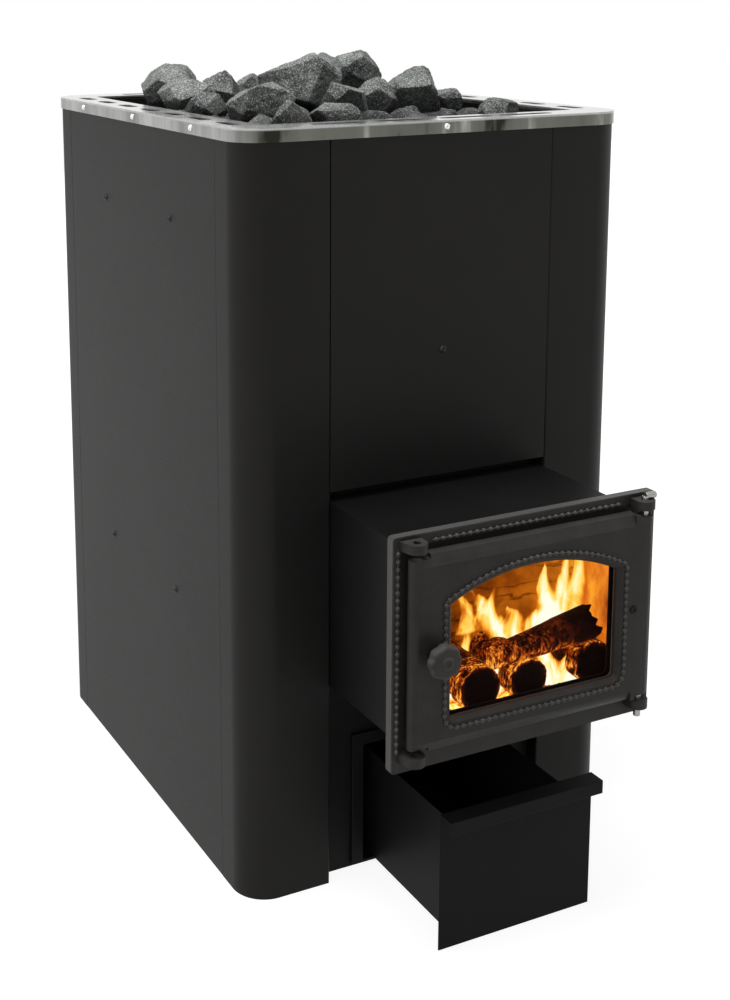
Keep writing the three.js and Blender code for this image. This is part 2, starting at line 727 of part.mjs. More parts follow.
const leafPlan = roundedRectangle(-leafHalf, leafFront, leafHalf, leafBack, barrelRadius, 6);
const rebateDepth = retainerThickness + paneThickness + gasketThickness + 3 * fit;
const flareStart = leafThickness - windowFlare;
const windowCutter = facingLoft(
  [windowOutline(0), windowOutline(0), windowOutline(windowFlare), windowOutline(windowFlare)],
  [-cutThrough, flareStart, leafThickness, leafThickness + cutThrough],
  leafBack,
);
const rebateCutter = facing(windowOutline(paneLap + fit), leafBack + cutThrough, leafBack - rebateDepth);
const spindleBore = circle(knobX, knobZ, spindleRadius + fit, 20);
const pinBore = circle(hingeX, hingeY, pinRadius + fit, 20);
const boreSeat = pinSeat + 2 * fit;
const leaf = cut(
  upright(leafPlan, leafLow, leafHigh),
  bevelCutter(leafHigh, 1),
  bevelCutter(leafLow, -1),
  windowCutter,
  rebateCutter,
  facing(spindleBore, leafBack + cutThrough, leafFront - cutThrough),
  ...[-1, 1].flatMap((side) => {
    const scoop = circle(side * hingeX, hingeY, lugBoss + lugScoopMargin, 24);
    return [
      upright(scoop, leafHigh - lugScoop, leafHigh + cutThrough),
      upright(scoop, leafLow - cutThrough, leafLow + lugScoop),
    ];
  }),
  upright(pinBore, leafHigh - boreSeat, leafHigh + cutThrough),
  upright(pinBore, leafLow - cutThrough, leafLow + boreSeat),
);
piece("door_leaf", leaf, castIron);

const gasketFront = leafBack - rebateDepth + fit;
const gasketBack = gasketFront + gasketThickness;
const paneFront = gasketBack + fit;
const paneBack = paneFront + paneThickness;
const retainerFront = paneBack + fit;
const retainerBack = retainerFront + retainerThickness;
const paneOutline = windowOutline(paneLap);
piece("glass_gasket", facing(paneOutline, gasketBack, gasketFront, [windowOutline(gasketLap)]), gasketRope);
piece("door_glass", facing(paneOutline, paneBack, paneFront), paneGlass);
piece("glass_retainer", facing(paneOutline, retainerBack, retainerFront, [windowOutline(0)]), bodySteel);

// Knob: a fluted disc on a neck, turned on its spindle; the cam behind the frame turns with it

function flutedOutline(radius, depth) {
  const count = 4 * fluteCount;
  return Array.from({ length: count }, (_, i) => {
    const angle = (2 * Math.PI * i) / count;
    const reach = radius - depth * (0.5 - 0.5 * Math.cos(fluteCount * angle));
    return new THREE.Vector2(knobX + reach * Math.cos(angle), knobZ + reach * Math.sin(angle));
  });
}

const knobBack = leafFront - 2 * fit;
const knobShoulder = knobNeck + 0.15 * knobThickness;
const knobBelly = knobNeck + 0.75 * knobThickness;
const knobFront = knobNeck + knobThickness;
const knob = facingLoft(
  [
    flutedOutline(knobNeckRadius, 0),
    flutedOutline(knobNeckRadius, 0),
    flutedOutline(knobRadius, fluteDepth),
    flutedOutline(knobRadius, fluteDepth),
    flutedOutline(0.84 * knobRadius, fluteDepth / 2),
  ],
  [0, knobNeck, knobShoulder, knobBelly, knobFront],
  knobBack,
);
piece("knob", knob, castIron);

const camFront = frameBack + camGap;
const camBack = camFront + camThickness;
const spindleOutline = circle(knobX, knobZ, spindleRadius, 20);
piece("knob_spindle", facing(spindleOutline, camBack + spindleTail, knobBack + fit), pinSteel);

const camTip = knobZ + camReach - camTipRadius;
const camOutline = [
  ...arc(knobX, camTip, camTipRadius, 0, Math.PI, 8),
  ...arc(knobX, knobZ, camHubRadius, Math.PI, 2 * Math.PI, 12),
];
const camBore = circle(knobX, knobZ, spindleRadius + fit, 20);
piece("latch_cam", facing(camOutline, camBack, camFront, [camBore]), bodySteel);

// Ash drawer, pulled out: a folded front with a grip lip, and a tray behind it
const drawerHalf = drawerWidth / 2;
const lipFront = drawerFront - lipDepth;
const drawerProfile = [
  new THREE.Vector2(drawerBack, drawerLift),
  new THREE.Vector2(drawerBack, drawerTop),
  new THREE.Vector2(lipFront, drawerTop),
  new THREE.Vector2(lipFront, drawerTop - lipDrop),
  new THREE.Vector2(lipFront + drawerSheet, drawerTop - lipDrop),
  new THREE.Vector2(lipFront + drawerSheet, drawerTop - drawerSheet),
  new THREE.Vector2(drawerFront, drawerTop - drawerSheet),
  new THREE.Vector2(drawerFront, drawerLift),
];
piece("ash_drawer_front", sideways(drawerProfile, -drawerHalf, drawerHalf), drawerPaint);

const trayFront = drawerBack + fit;
const trayRear = trayFront + trayLength;
const trayHollow = block(
  traySheet - trayHalf,
  trayHalf - traySheet,
  trayFront + traySheet,
  trayRear - traySheet,
  trayLow + traySheet,
  trayTop + cutThrough,
);
const trayBlock = block(-trayHalf, trayHalf, trayFront, trayRear, trayLow, trayTop);
piece("ash_drawer_tray", cut(trayBlock, trayHollow), drawerPaint);

// Fire: embers on the tunnel's floor, three logs along the tunnel and one across them
const emberTop = tunnelFloor + fit + emberDepth;
const emberHalf = tunnelInside - emberMargin;
const emberFront = frameBack + camGap;
const emberRear = emberFront + emberLength;
const emberPlan = (inset) =>
  rectangle(inset - emberHalf, emberFront + inset, emberHalf - inset, emberRear - inset);
const emberBed = loft(
  [emberPlan(0), emberPlan(0), emberPlan(emberDepth / 2)],
  [tunnelFloor + fit, tunnelFloor + fit + emberDepth / 2, emberTop],
);
piece("ember_bed", emberBed, ember);

function logGeometry(radius, length) {
  const ring = (share) => circle(0, 0, radius * share, 12);
  return loft([ring(1), ring(1), ring(logTaper)], [-length, -0.1 * length, 0]).rotateX(Math.PI / 2);
}

const logNames = ["log_right", "log_middle", "log_left"];
const logFront = frameBack + logSetback;
let logEdge = tunnelInside;
logNames.forEach((name, i) => {
  const log = piece(name, logGeometry(logRadii[i], logLength), charredWood);
  const x = logEdge - logSteps[i] - logRadii[i];
  log.position.set(x, logFront, emberTop + fit + logRadii[i]);
  logEdge = x - logRadii[i];
});

const crossLog = piece("log_across", logGeometry(crossLogRadius, crossLogLength), charredWood);
const crossLogHeight = emberTop + fit + 2 * Math.max(...logRadii) + fit + crossLogRadius;
crossLog.rotation.z = Math.PI / 2 + THREE.MathUtils.degToRad(crossLogTurn);
const crossLogEnd = tunnelInside - logRadii[0];
crossLog.position.set(crossLogEnd, logFront + crossLogSetback, crossLogHeight);

// Stones: each is a lump cut by planes, trimmed where it rests against the ones placed before it

function dice(seed) {
  let state = (seed * 7919 + 12345) >>> 0;
  return () => {
    state = (Math.imul(state, 1664525) + 1013904223) >>> 0;
    return state / 4294967296;
  };
}

function spiralDirections(count, phase) {
  const goldenAngle = Math.PI * (3 - Math.sqrt(5));
  return Array.from({ length: count }, (_, i) => {
    const z = 1 - (2 * i + 1) / count;
    const around = i * goldenAngle + phase;
    const ring = Math.sqrt(1 - z * z);
    return new THREE.Vector3(ring * Math.cos(around), ring * Math.sin(around), z);
  });
}

// The reach of a stone of unit size along a direction is where it meets the nearest of its cleft planes
function stoneGeometry(seed, half, turn, directionCount) {
  const roll = dice(seed);
  const clefts = spiralDirections(stoneClefts, 2 * Math.PI * roll()).map((normal) => {
    const jitter = new THREE.Vector3(roll() - 0.5, roll() - 0.5, roll() - 0.5).multiplyScalar(cleftJitter);
    return { normal: normal.add(jitter).normalize(), distance: cleftNearest + cleftSpread * roll() };
  });
  const points = spiralDirections(directionCount, 0).map((direction) => {
    const reaches = clefts.map(
      ({ normal, distance }) => distance / Math.max(direction.dot(normal), cleftSlant),
    );
    return direction.clone().multiplyScalar(Math.min(stoneTip, ...reaches));
  });
  const geometry = new ConvexGeometry(points);
  return geometry.scale(...half).rotateZ(turn);
}

function enlarged(geometry, centre, share) {
  const copy = geometry.clone().translate(-centre.x, -centre.y, -centre.z);
  return copy.scale(1 + share, 1 + share, 1 + share).translate(centre.x, centre.y, centre.z);
}

const placedStones = [];
Object.entries(stones).forEach(([name, [across, along, lift, halfX, halfY, halfZ, turn]], i) => {
  const reach = stoneRoom * Math.max(halfX, halfY);
  const centre = new THREE.Vector3(across * (roomHalfX - reach), along * (roomHalfY - reach), rimTop + lift);
  const lump = stoneGeometry(i + 1, [halfX, halfY, halfZ], turn, 44).translate(centre.x, centre.y, centre.z);
  const trimmed = largestBody(cut(lump, ...placedStones));
  placedStones.push(enlarged(lump, centre, stoneGap));
  piece(name, trimmed, stoneGrey);
});

// The bed below them is filled with smaller stones, taken as one lumpy body with a pocket for each top stone
const bedLow = tubFloor + fit;
const bedHigh = rimTop - bedDrop;
const lumpCountX = Math.floor((2 * (roomHalfX - bedLumpRadius)) / bedLumpPitch) + 1;
const lumpCountY = Math.floor((2 * (roomHalfY - bedLumpRadius)) / bedLumpPitch) + 1;
const lumps = evenly(lumpCountX, bedLumpPitch).flatMap((x, column) =>
  evenly(lumpCountY, bedLumpPitch).map((y, row) => {
    const seed = 100 + column * lumpCountY + row;
    const roll = dice(seed);
    const shift = () => (roll() - 0.5) * 0.4 * bedLumpRadius;
    const half = [bedLumpRadius, bedLumpRadius, 0.8 * bedLumpRadius];
    return stoneGeometry(seed, half, 0, 14).translate(x + shift(), y + shift(), bedHigh + shift());
  }),
);
const bedOutline = roundedRectangle(-roomHalfX, -roomHalfY, roomHalfX, roomHalfY, tubInsideRadius);
const bedBlock = upright(bedOutline, bedLow, bedHigh);
const bedRoom = upright(bedOutline, bedLow, rimTop + 2 * bedLumpRadius);
piece("stone_bed", largestBody(cut(common(join(bedBlock, ...lumps), bedRoom), ...placedStones)), stoneGrey);

export default heater;
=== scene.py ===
# A wood-fired sauna heater: black sheet casing, stainless rim, heap of stones, cast-iron fire door on its
# feeding tunnel, and an ash drawer that stands pulled out. Metres, front towards -Y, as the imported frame.
import math
import bmesh
import bpy
import numpy as np
from mathutils import Matrix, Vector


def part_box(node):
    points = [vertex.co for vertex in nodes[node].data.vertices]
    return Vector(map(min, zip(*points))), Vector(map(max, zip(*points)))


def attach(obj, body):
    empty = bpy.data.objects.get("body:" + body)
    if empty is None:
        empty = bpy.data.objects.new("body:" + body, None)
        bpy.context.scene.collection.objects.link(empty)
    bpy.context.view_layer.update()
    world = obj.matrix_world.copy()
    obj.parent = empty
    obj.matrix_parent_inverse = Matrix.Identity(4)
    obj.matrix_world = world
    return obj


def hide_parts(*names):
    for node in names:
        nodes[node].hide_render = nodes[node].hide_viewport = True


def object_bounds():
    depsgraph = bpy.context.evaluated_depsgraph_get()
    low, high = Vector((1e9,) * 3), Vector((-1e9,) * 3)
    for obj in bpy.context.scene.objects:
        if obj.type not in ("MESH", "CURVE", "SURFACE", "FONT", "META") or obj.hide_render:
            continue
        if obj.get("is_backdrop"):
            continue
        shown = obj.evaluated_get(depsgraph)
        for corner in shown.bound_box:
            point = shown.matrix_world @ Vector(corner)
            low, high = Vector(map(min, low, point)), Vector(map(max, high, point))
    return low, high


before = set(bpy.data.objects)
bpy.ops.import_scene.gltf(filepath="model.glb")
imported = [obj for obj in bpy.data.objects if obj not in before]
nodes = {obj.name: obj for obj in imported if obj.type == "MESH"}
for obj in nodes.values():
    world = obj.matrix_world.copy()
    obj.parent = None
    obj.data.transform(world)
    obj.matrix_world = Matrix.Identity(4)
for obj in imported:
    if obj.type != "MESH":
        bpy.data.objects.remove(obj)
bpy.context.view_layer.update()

# Viewpoint: the heater is seen from its left front and a little above, through a long lens whose
# picture is shifted down and to the right, which keeps the uprights nearly parallel.
LONG_SIDE = 1000
SHORT_SIDE = 730
SENSOR = 36.0
focal_pixels = 1497.3
optical_centre = (258, 262)
camera_place = (-0.81436, -1.53273, 0.91728)
turn_right, tilt_down, roll = 0.449, 0.177, 0.007
camera_data = bpy.data.cameras.new("photo_camera")
camera_data.sensor_width = SENSOR
camera_data.lens = focal_pixels * SENSOR / LONG_SIDE
camera_data.shift_x = (SHORT_SIDE / 2 - optical_centre[0]) / LONG_SIDE
camera_data.shift_y = (optical_centre[1] - LONG_SIDE / 2) / LONG_SIDE
camera = bpy.data.objects.new("photo_camera", camera_data)
bpy.context.collection.objects.link(camera)
upright = Matrix.Rotation(-turn_right, 4, "Z") @ Matrix.Rotation(math.pi / 2 - tilt_down, 4, "X")
camera.matrix_world = Matrix.Translation(camera_place) @ upright @ Matrix.Rotation(-roll, 4, "Z")
bpy.context.scene.camera = camera
bpy.context.scene.view_settings.view_transform = "Standard"

# Studio: a pale floor that runs out into a white surround, one broad soft lamp on the left, a weaker
# one high in front and a faint one on the right, so the left flank is brighter than the front.


def place(tree, kind, inputs=None, **settings):
    """Adds a node of that kind to the tree, sets its properties, and links or sets its inputs."""
    made = tree.nodes.new(kind)
    for name, value in settings.items():
        setattr(made, name, value)
    for socket, value in (inputs or {}).items():
        if isinstance(value, bpy.types.NodeSocket):
            tree.links.new(value, made.inputs[socket])
        else:
            made.inputs[socket].default_value = value
    return made


def seen_directly(tree):
    """One for rays that show the surround as a picture: camera, glossy and transmission rays."""
    path = place(tree, "ShaderNodeLightPath")
    first = place(tree, "ShaderNodeMath", {0: path.outputs["Is Camera Ray"], 1: path.outputs["Is Glossy Ray"]},
                  operation="MAXIMUM")
    both = place(tree, "ShaderNodeMath", {0: first.outputs[0], 1: path.outputs["Is Transmission Ray"]},
                 operation="MAXIMUM")
    return both.outputs[0]


surround = bpy.data.worlds.new("white_surround")
surround.use_nodes = True
sky = surround.node_tree
sky.nodes.clear()
ambient = place(sky, "ShaderNodeBackground", {"Color": (1.0, 1.0, 1.0, 1.0), "Strength": 0.11})
backdrop = place(sky, "ShaderNodeBackground", {"Color": (1.0, 1.0, 1.0, 1.0), "Strength": 1.0})
sky_mix = place(sky, "ShaderNodeMixShader", {0: seen_directly(sky), 1: ambient.outputs[0], 2: backdrop.outputs[0]})
place(sky, "ShaderNodeOutputWorld", {"Surface": sky_mix.outputs[0]})
bpy.context.scene.world = surround

FLOOR_HALF = 6.0
floor_mesh = bpy.data.meshes.new("floor")
floor_corners = [(-FLOOR_HALF, -FLOOR_HALF, 0.0), (FLOOR_HALF, -FLOOR_HALF, 0.0),
                 (FLOOR_HALF, FLOOR_HALF, 0.0), (-FLOOR_HALF, FLOOR_HALF, 0.0)]
floor_mesh.from_pydata(floor_corners, [], [(0, 1, 2, 3)])
floor = bpy.data.objects.new("floor", floor_mesh)
bpy.context.collection.objects.link(floor)
floor_finish = bpy.data.materials.new("pale_floor")
floor_finish.use_nodes = True
floor_tree = floor_finish.node_tree
floor_tree.nodes.clear()
floor_matt = place(floor_tree, "ShaderNodeBsdfDiffuse", {"Color": (0.86, 0.86, 0.86, 1.0)})
floor_white = place(floor_tree, "ShaderNodeEmission", {"Color": (1.0, 1.0, 1.0, 1.0), "Strength": 1.22})
floor_away = place(floor_tree, "ShaderNodeVectorMath",
                   {0: place(floor_tree, "ShaderNodeTexCoord").outputs["Object"]}, operation="LENGTH")
floor_clear = place(floor_tree, "ShaderNodeMapRange",
                    {"Value": floor_away.outputs["Value"], "From Min": 0.5, "From Max": 1.5, "To Min": 0.74, "To Max": 1.0})
floor_share = place(floor_tree, "ShaderNodeMath", {0: seen_directly(floor_tree), 1: floor_clear.outputs[0]},
                    operation="MULTIPLY")
floor_mix = place(floor_tree, "ShaderNodeMixShader",
                  {0: floor_share.outputs[0], 1: floor_matt.outputs[0], 2: floor_white.outputs[0]})
place(floor_tree, "ShaderNodeOutputMaterial", {"Surface": floor_mix.outputs[0]})
floor_mesh.materials.append(floor_finish)
floor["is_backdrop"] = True


def soft_lamp(name, place_at, aim, size, watts):
    """A square area lamp at one point, turned to face another."""
    data = bpy.data.lights.new(name, "AREA")
    data.size = size
    data.energy = watts
    lamp = bpy.data.objects.new(name, data)
    bpy.context.collection.objects.link(lamp)
    towards = Matrix.Translation(aim).translation - Matrix.Translation(place_at).translation
    lamp.matrix_world = Matrix.Translation(place_at) @ towards.to_track_quat("-Z", "Y").to_matrix().to_4x4()
    lamp.visible_camera = False
    return lamp


soft_lamp("lamp_left", (-3.0, 0.3, 2.0), (-0.2, 0.0, 0.4), 2.4, 41)
soft_lamp("lamp_front", (-1.2, -3.2, 2.9), (0.0, -0.2, 0.4), 2.0, 21)
soft_lamp("lamp_top", (-0.3, -0.2, 3.4), (0.0, 0.0, 0.7), 1.4, 62)
soft_lamp("lamp_right", (2.8, -0.9, 1.8), (0.2, 0.0, 0.5), 2.0, 9)

# Casing: four posts rolled round the corners and flat panels between them, in 1.5 mm sheet, sprayed with
# matt heat-proof black that shows a fine orange-peel grain. The posts are bent, so their corners are round.


def finish(name, colour, roughness, metallic=0.0):
    """A principled material whose even values sit on the shader's own sockets."""
    material = bpy.data.materials.new(name)
    material.use_nodes = True
    shader = material.node_tree.nodes["Principled BSDF"]
    shader.inputs["Base Color"].default_value = (*colour, 1.0)
    shader.inputs["Roughness"].default_value = roughness
    shader.inputs["Metallic"].default_value = metallic
    return material, material.node_tree, shader


def spots(tree, scale, detail=4.0, rough=0.55, stretch=None):
    """Noise in metres on Object coordinates, stretched along an axis where asked; gives its value socket."""
    coordinate = place(tree, "ShaderNodeTexCoord").outputs["Object"]
    if stretch:
        coordinate = place(tree, "ShaderNodeMapping", {"Vector": coordinate, "Scale": stretch}).outputs[0]
    noise = place(tree, "ShaderNodeTexNoise",
                  {"Vector": coordinate, "Scale": scale, "Detail": detail, "Roughness": rough})
    return noise.outputs["Fac"]


def between(tree, factor, stops, kind="LINEAR"):
    """Colour ramp through (position, colour) stops; gives its colour socket."""
    ramp = place(tree, "ShaderNodeValToRGB", {"Fac": factor})
    ramp.color_ramp.interpolation = kind
    elements = ramp.color_ramp.elements
    while len(elements) < len(stops):
        elements.new(0.5)
    for element, (position, colour) in zip(elements, stops):
        element.position = position
        element.color = (*colour, 1.0)
    return ramp.outputs["Color"]


def grey_range(tree, factor, low, high, start=0.3, end=0.7):
    """A value that goes from low to high as the factor goes from start to end."""
    made = place(tree, "ShaderNodeMapRange",
                 {"Value": factor, "From Min": start, "From Max": end, "To Min": low, "To Max": high})
    return made.outputs[0]


def roughen(tree, shader, factor, depth, distance):
    """Bump of that depth share, over that distance in metres, on the shader's normal."""
    bump = place(tree, "ShaderNodeBump", {"Height": factor, "Strength": depth, "Distance": distance})
    tree.links.new(bump.outputs["Normal"], shader.inputs["Normal"])


def stove_paint(name, dark, light, roughness=(0.42, 0.56), grain=1300.0, shine=0.12):
    """Sprayed paint: slow drift between two near blacks, fine orange-peel grain in bump and gloss."""
    material, tree, shader = finish(name, dark, 0.5)
    drift = spots(tree, 5.0, 5.0, 0.6)
    tree.links.new(between(tree, drift, [(0.32, dark), (0.68, light)]), shader.inputs["Base Color"])
    peel = spots(tree, grain, 2.0, 0.5)
    tree.links.new(grey_range(tree, peel, *roughness), shader.inputs["Roughness"])
    roughen(tree, shader, peel, 0.22, 0.0004)
    shader.inputs["Specular IOR Level"].default_value = shine
    shader.inputs["Specular Tint"].default_value = (1.0, 0.965, 0.93, 1.0)
    return material


def add_piece(name, vertices, faces, material, body, replaced=(), smooth=True, sharp=40.0):
    """A mesh from arrays, placed in its own vertices, finished, ridden on its body, standing for CAD nodes."""
    mesh = bpy.data.meshes.new(name)
    mesh.from_pydata(np.asarray(vertices).tolist(), [], [tuple(f) for f in faces])
    mesh.update()
    made = bpy.data.objects.new(name, mesh)
    bpy.context.collection.objects.link(made)
    mesh.materials.append(material)
    if smooth:
        mesh.shade_smooth()
        mesh.set_sharp_from_angle(angle=math.radians(sharp))
    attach(made, body)
    if replaced:
        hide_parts(*replaced)
    return made


def grid_faces(rows, columns, wrap_rows=False, wrap_columns=False, first=0):
    """Quads of a grid of points stored row by row, closed round where asked."""
    row = np.arange(rows if wrap_rows else rows - 1)[:, None]
    column = np.arange(columns if wrap_columns else columns - 1)[None, :]
    next_row = (row + 1) % rows
    next_column = (column + 1) % columns
    quads = np.stack([row * columns + column, row * columns + next_column,
                      next_row * columns + next_column, next_row * columns + column], axis=-1)
    return (quads.reshape(-1, 4) + first).tolist()


def turned_arc(x, y, radius, start, end, steps):
    """Points on an arc about (x, y) from one angle to another, in degrees."""
    angle = np.radians(np.linspace(start, end, steps))
    return np.stack([x + radius * np.cos(angle), y + radius * np.sin(angle)], axis=1)


casing_paint = stove_paint("casing_paint", (0.0125, 0.0122, 0.0117), (0.0165, 0.0160, 0.0154))
SHEET = 0.0015
CORNER_RADIUS = 0.036
FOLD_RADIUS = 0.0022


def post_section(low, high):
    """Section of a corner post in plan: from its side seam round the corner, along the front to a small
    fold, and back along the lip; then the same line again one sheet further in."""
    half_x, half_y = high[0], high[1]
    centre = (half_x - CORNER_RADIUS, half_y - CORNER_RADIUS)
    fold = (low[0] + FOLD_RADIUS, half_y - FOLD_RADIUS)
    outside = np.vstack([
        [[half_x, low[1]]],
        turned_arc(*centre, CORNER_RADIUS, 0, 90, 40),
        turned_arc(*fold, FOLD_RADIUS, 90, 180, 7),
        [[low[0], low[2]]],
    ])
    inside = np.vstack([
        [[low[0] + SHEET, low[2]]],
        turned_arc(*fold, FOLD_RADIUS - SHEET, 180, 90, 7),
        turned_arc(*centre, CORNER_RADIUS - SHEET, 90, 0, 40),
        [[half_x - SHEET, low[1]]],
    ])
    return np.vstack([outside, inside])


panel_low, panel_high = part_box("front_panel")
for name, side, end in (("post_front_left", -1, -1), ("post_front_right", 1, -1),
                        ("post_rear_left", -1, 1), ("post_rear_right", 1, 1)):
    low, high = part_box(name)
    near_x = min(abs(low[0]), abs(high[0]))
    near_y = min(abs(low[1]), abs(high[1]))
    far = (max(abs(low[0]), abs(high[0])), max(abs(low[1]), abs(high[1])))
    lip_end = abs(panel_high[1])
    section = post_section((near_x, near_y, lip_end), far) * np.array([side, end])
    if side * end < 0:
        section = section[::-1]
    count = len(section)
    heights = np.array([low[2], high[2]])
    ring = np.concatenate([np.column_stack([section, np.full(count, z)]) for z in heights])
    faces = grid_faces(2, count, wrap_columns=True)
    faces += [list(range(count))[::-1], [count + i for i in range(count)]]
    add_piece(name + "_sheet", ring, faces, casing_paint, "stove", (name,), sharp=30.0)


def softened(node, width, segments=2, sharp=28.0, material=None, body="stove"):
    """A merged copy of a CAD node whose hard edges are rounded by a small bevel; it stands for the node."""
    mesh = nodes[node].data.copy()
    mesh.name = node + "_finished"
    shape = bmesh.new()
    shape.from_mesh(mesh)
    bmesh.ops.remove_doubles(shape, verts=shape.verts, dist=2e-6)
    bmesh.ops.dissolve_limit(shape, angle_limit=math.radians(0.4), verts=shape.verts, edges=shape.edges)
    shape.to_mesh(mesh)
    shape.free()
    mesh.shade_smooth()
    mesh.set_sharp_from_angle(angle=math.radians(sharp))
    mesh.materials.clear()
    mesh.materials.append(material)
    made = bpy.data.objects.new(mesh.name, mesh)
    bpy.context.collection.objects.link(made)
    bevel = made.modifiers.new("rounded_edges", "BEVEL")
    bevel.width = width
    bevel.segments = segments
    bevel.limit_method = "ANGLE"
    bevel.angle_limit = math.radians(sharp)
    bevel.harden_normals = True
    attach(made, body)
    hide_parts(node)
    return made


for node in ("side_panel_left", "side_panel_right", "front_panel", "rear_panel"):
    softened(node, 0.0004, material=casing_paint)

# Screws: small black pan heads that hold the panels to the frame inside, and bright ones in the rim's skirt.
# Each is turned on a lathe, with a cross recess pressed into its head.


def screw_head(name, centre, normal, radius, height, material):
    """A domed head turned about the normal: the radius follows a quarter of an ellipse up to the crown,
    and a cross is pressed into it, deepest along two lines through the middle."""
    rings, around = 8, 28
    climb = np.linspace(0.0, 1.0, rings)[:, None]
    angle = np.linspace(0.0, 2 * np.pi, around, endpoint=False)[None, :]
    reach = radius * np.cos(climb * np.pi / 2) ** 0.8
    reach = np.maximum(reach, radius * 0.02)
    across, along = reach * np.cos(angle), reach * np.sin(angle)
    lift = height * np.sin(climb * np.pi / 2) + 0.0 * angle
    groove = np.minimum(np.abs(across), np.abs(along)) < radius * 0.13
    inside = np.hypot(across, along) < radius * 0.62
    lift = np.where(groove & inside, lift - 0.45 * height, lift)
    normal = np.asarray(normal, float)
    first = np.cross(normal, (0.0, 0.0, 1.0)) if abs(normal[2]) < 0.9 else np.array([1.0, 0.0, 0.0])
    second = np.cross(normal, first)
    points = (np.asarray(centre) + across[..., None] * first + along[..., None] * second
              + lift[..., None] * normal)
    faces = grid_faces(rings, around, wrap_columns=True)
    top = [(rings - 1) * around + i for i in range(around)]
    base = list(range(around))[::-1]
    return add_piece(name, points.reshape(-1, 3), faces + [top, base], material, "stove", sharp=50.0)


screw_black, screw_tree, screw_shader = finish("screw_black", (0.012, 0.012, 0.012), 0.35, 0.6)
tree_wear = spots(screw_tree, 900.0, 3.0)
screw_tree.links.new(between(screw_tree, tree_wear, [(0.4, (0.010, 0.010, 0.010)), (0.75, (0.05, 0.05, 0.05))]),
                     screw_shader.inputs["Base Color"])
SCREW_RADIUS = 0.0040
PANEL_SCREW_ALONG = 0.096
PANEL_SCREW_HEIGHTS = (0.277, 0.687)
casing_half_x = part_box("side_panel_right")[1][0]
for side, word in ((-1, "left"), (1, "right")):
    for row, height in enumerate(PANEL_SCREW_HEIGHTS):
        for column, along in enumerate((-PANEL_SCREW_ALONG, PANEL_SCREW_ALONG)):
            screw_head(f"panel_screw_{word}_{row}{column}", (side * casing_half_x, along, height), (side, 0, 0),
                       SCREW_RADIUS, 0.0022, screw_black)
screw_head("front_panel_screw", (0.0, panel_low[1], 0.560), (0, -1, 0), SCREW_RADIUS, 0.0022,
           screw_black)
rear_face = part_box("rear_panel")[1][1]
for row, height in enumerate((0.20, 0.70)):
    for column, across in enumerate((-0.105, 0.105)):
        screw_head(f"rear_panel_screw_{row}{column}", (across, rear_face, height), (0, 1, 0),
                   SCREW_RADIUS, 0.0022, screw_black)

# Rim: polished stainless sheet folded into a skirt, a flange with long air slots and an inner edge.
# A separate strip closes it at the rear. Fine polishing lines run along it.
rim_low, rim_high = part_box("rim_frame")
stainless, steel_tree, steel_shader = finish("polished_stainless", (0.66, 0.66, 0.645), 0.16, 1.0)
lines = spots(steel_tree, 60.0, 3.0, 0.5, (1.0, 1.0, 40.0))
smudge = spots(steel_tree, 14.0, 5.0, 0.6)
rim_painted_streaks = spots(steel_tree, 20.0, 4.0, 0.6, (1.0, 1.0, 0.2))
steel_tree.links.new(grey_range(steel_tree, smudge, 0.08, 0.22), steel_shader.inputs["Roughness"])
steel_place = place(steel_tree, "ShaderNodeSeparateXYZ", {0: place(steel_tree, "ShaderNodeTexCoord").outputs["Object"]})
on_flange = grey_range(steel_tree, steel_place.outputs["Z"], 0.0, 1.0, rim_high[2] - 0.0026, rim_high[2] - 0.0012)
# Painted reflection: the skirt's sides get a lighter streaked tone, and its front a darker one with bright streaks.
skirt_side_painted_reflection = between(steel_tree, rim_painted_streaks, [(0.34, (0.16, 0.16, 0.155)), (0.46, (0.27, 0.27, 0.265)), (0.66, (0.42, 0.42, 0.41))])
skirt_front_painted_reflection = between(steel_tree, rim_painted_streaks, [(0.36, (0.022, 0.022, 0.018)), (0.44, (0.105, 0.108, 0.092)),
                                           (0.60, (0.135, 0.138, 0.120)), (0.70, (0.34, 0.34, 0.31))])
on_front = grey_range(steel_tree, steel_place.outputs["Y"], 1.0, 0.0, rim_low[1] + 0.004, rim_low[1] + 0.020)
skirt_painted_reflection = place(steel_tree, "ShaderNodeMixRGB", {"Fac": on_front, "Color1": skirt_side_painted_reflection, "Color2": skirt_front_painted_reflection}).outputs[0]
flange_tone = between(steel_tree, smudge, [(0.3, (0.40, 0.40, 0.39)), (0.7, (0.58, 0.58, 0.57))])
steel_mix = place(steel_tree, "ShaderNodeMixRGB", {"Fac": on_flange, "Color1": skirt_painted_reflection, "Color2": flange_tone})
steel_tree.links.new(steel_mix.outputs[0], steel_shader.inputs["Base Color"])
steel_tree.links.new(grey_range(steel_tree, on_flange, 1.0, 0.45, 0.0, 1.0), steel_shader.inputs["Metallic"])
roughen(steel_tree, steel_shader, lines, 0.05, 0.0006)
for node in ("rim_frame", "rim_rear_strip"):
    softened(node, 0.0005, material=stainless, sharp=24.0)
rim_middle = (rim_low[2] + rim_high[2]) / 2
bright_screw, bright_tree, bright_shader = finish("bright_screw", (0.72, 0.72, 0.71), 0.25, 1.0)
bright_tree.links.new(grey_range(bright_tree, spots(bright_tree, 600.0), 0.18, 0.34), bright_shader.inputs["Roughness"])
RIM_SCREW_ALONG = 0.160
for side, word in ((-1, "left"), (1, "right")):
    for row, along in enumerate((-RIM_SCREW_ALONG, 0.0, RIM_SCREW_ALONG)):
        screw_head(f"rim_screw_{word}_{row}", (side * rim_high[0], along, rim_middle), (side, 0, 0),
                   0.0034, 0.0020, bright_screw)
screw_head("rim_screw_front", (0.0, rim_low[1], rim_middle), (0, -1, 0), 0.0034, 0.0020, bright_screw)

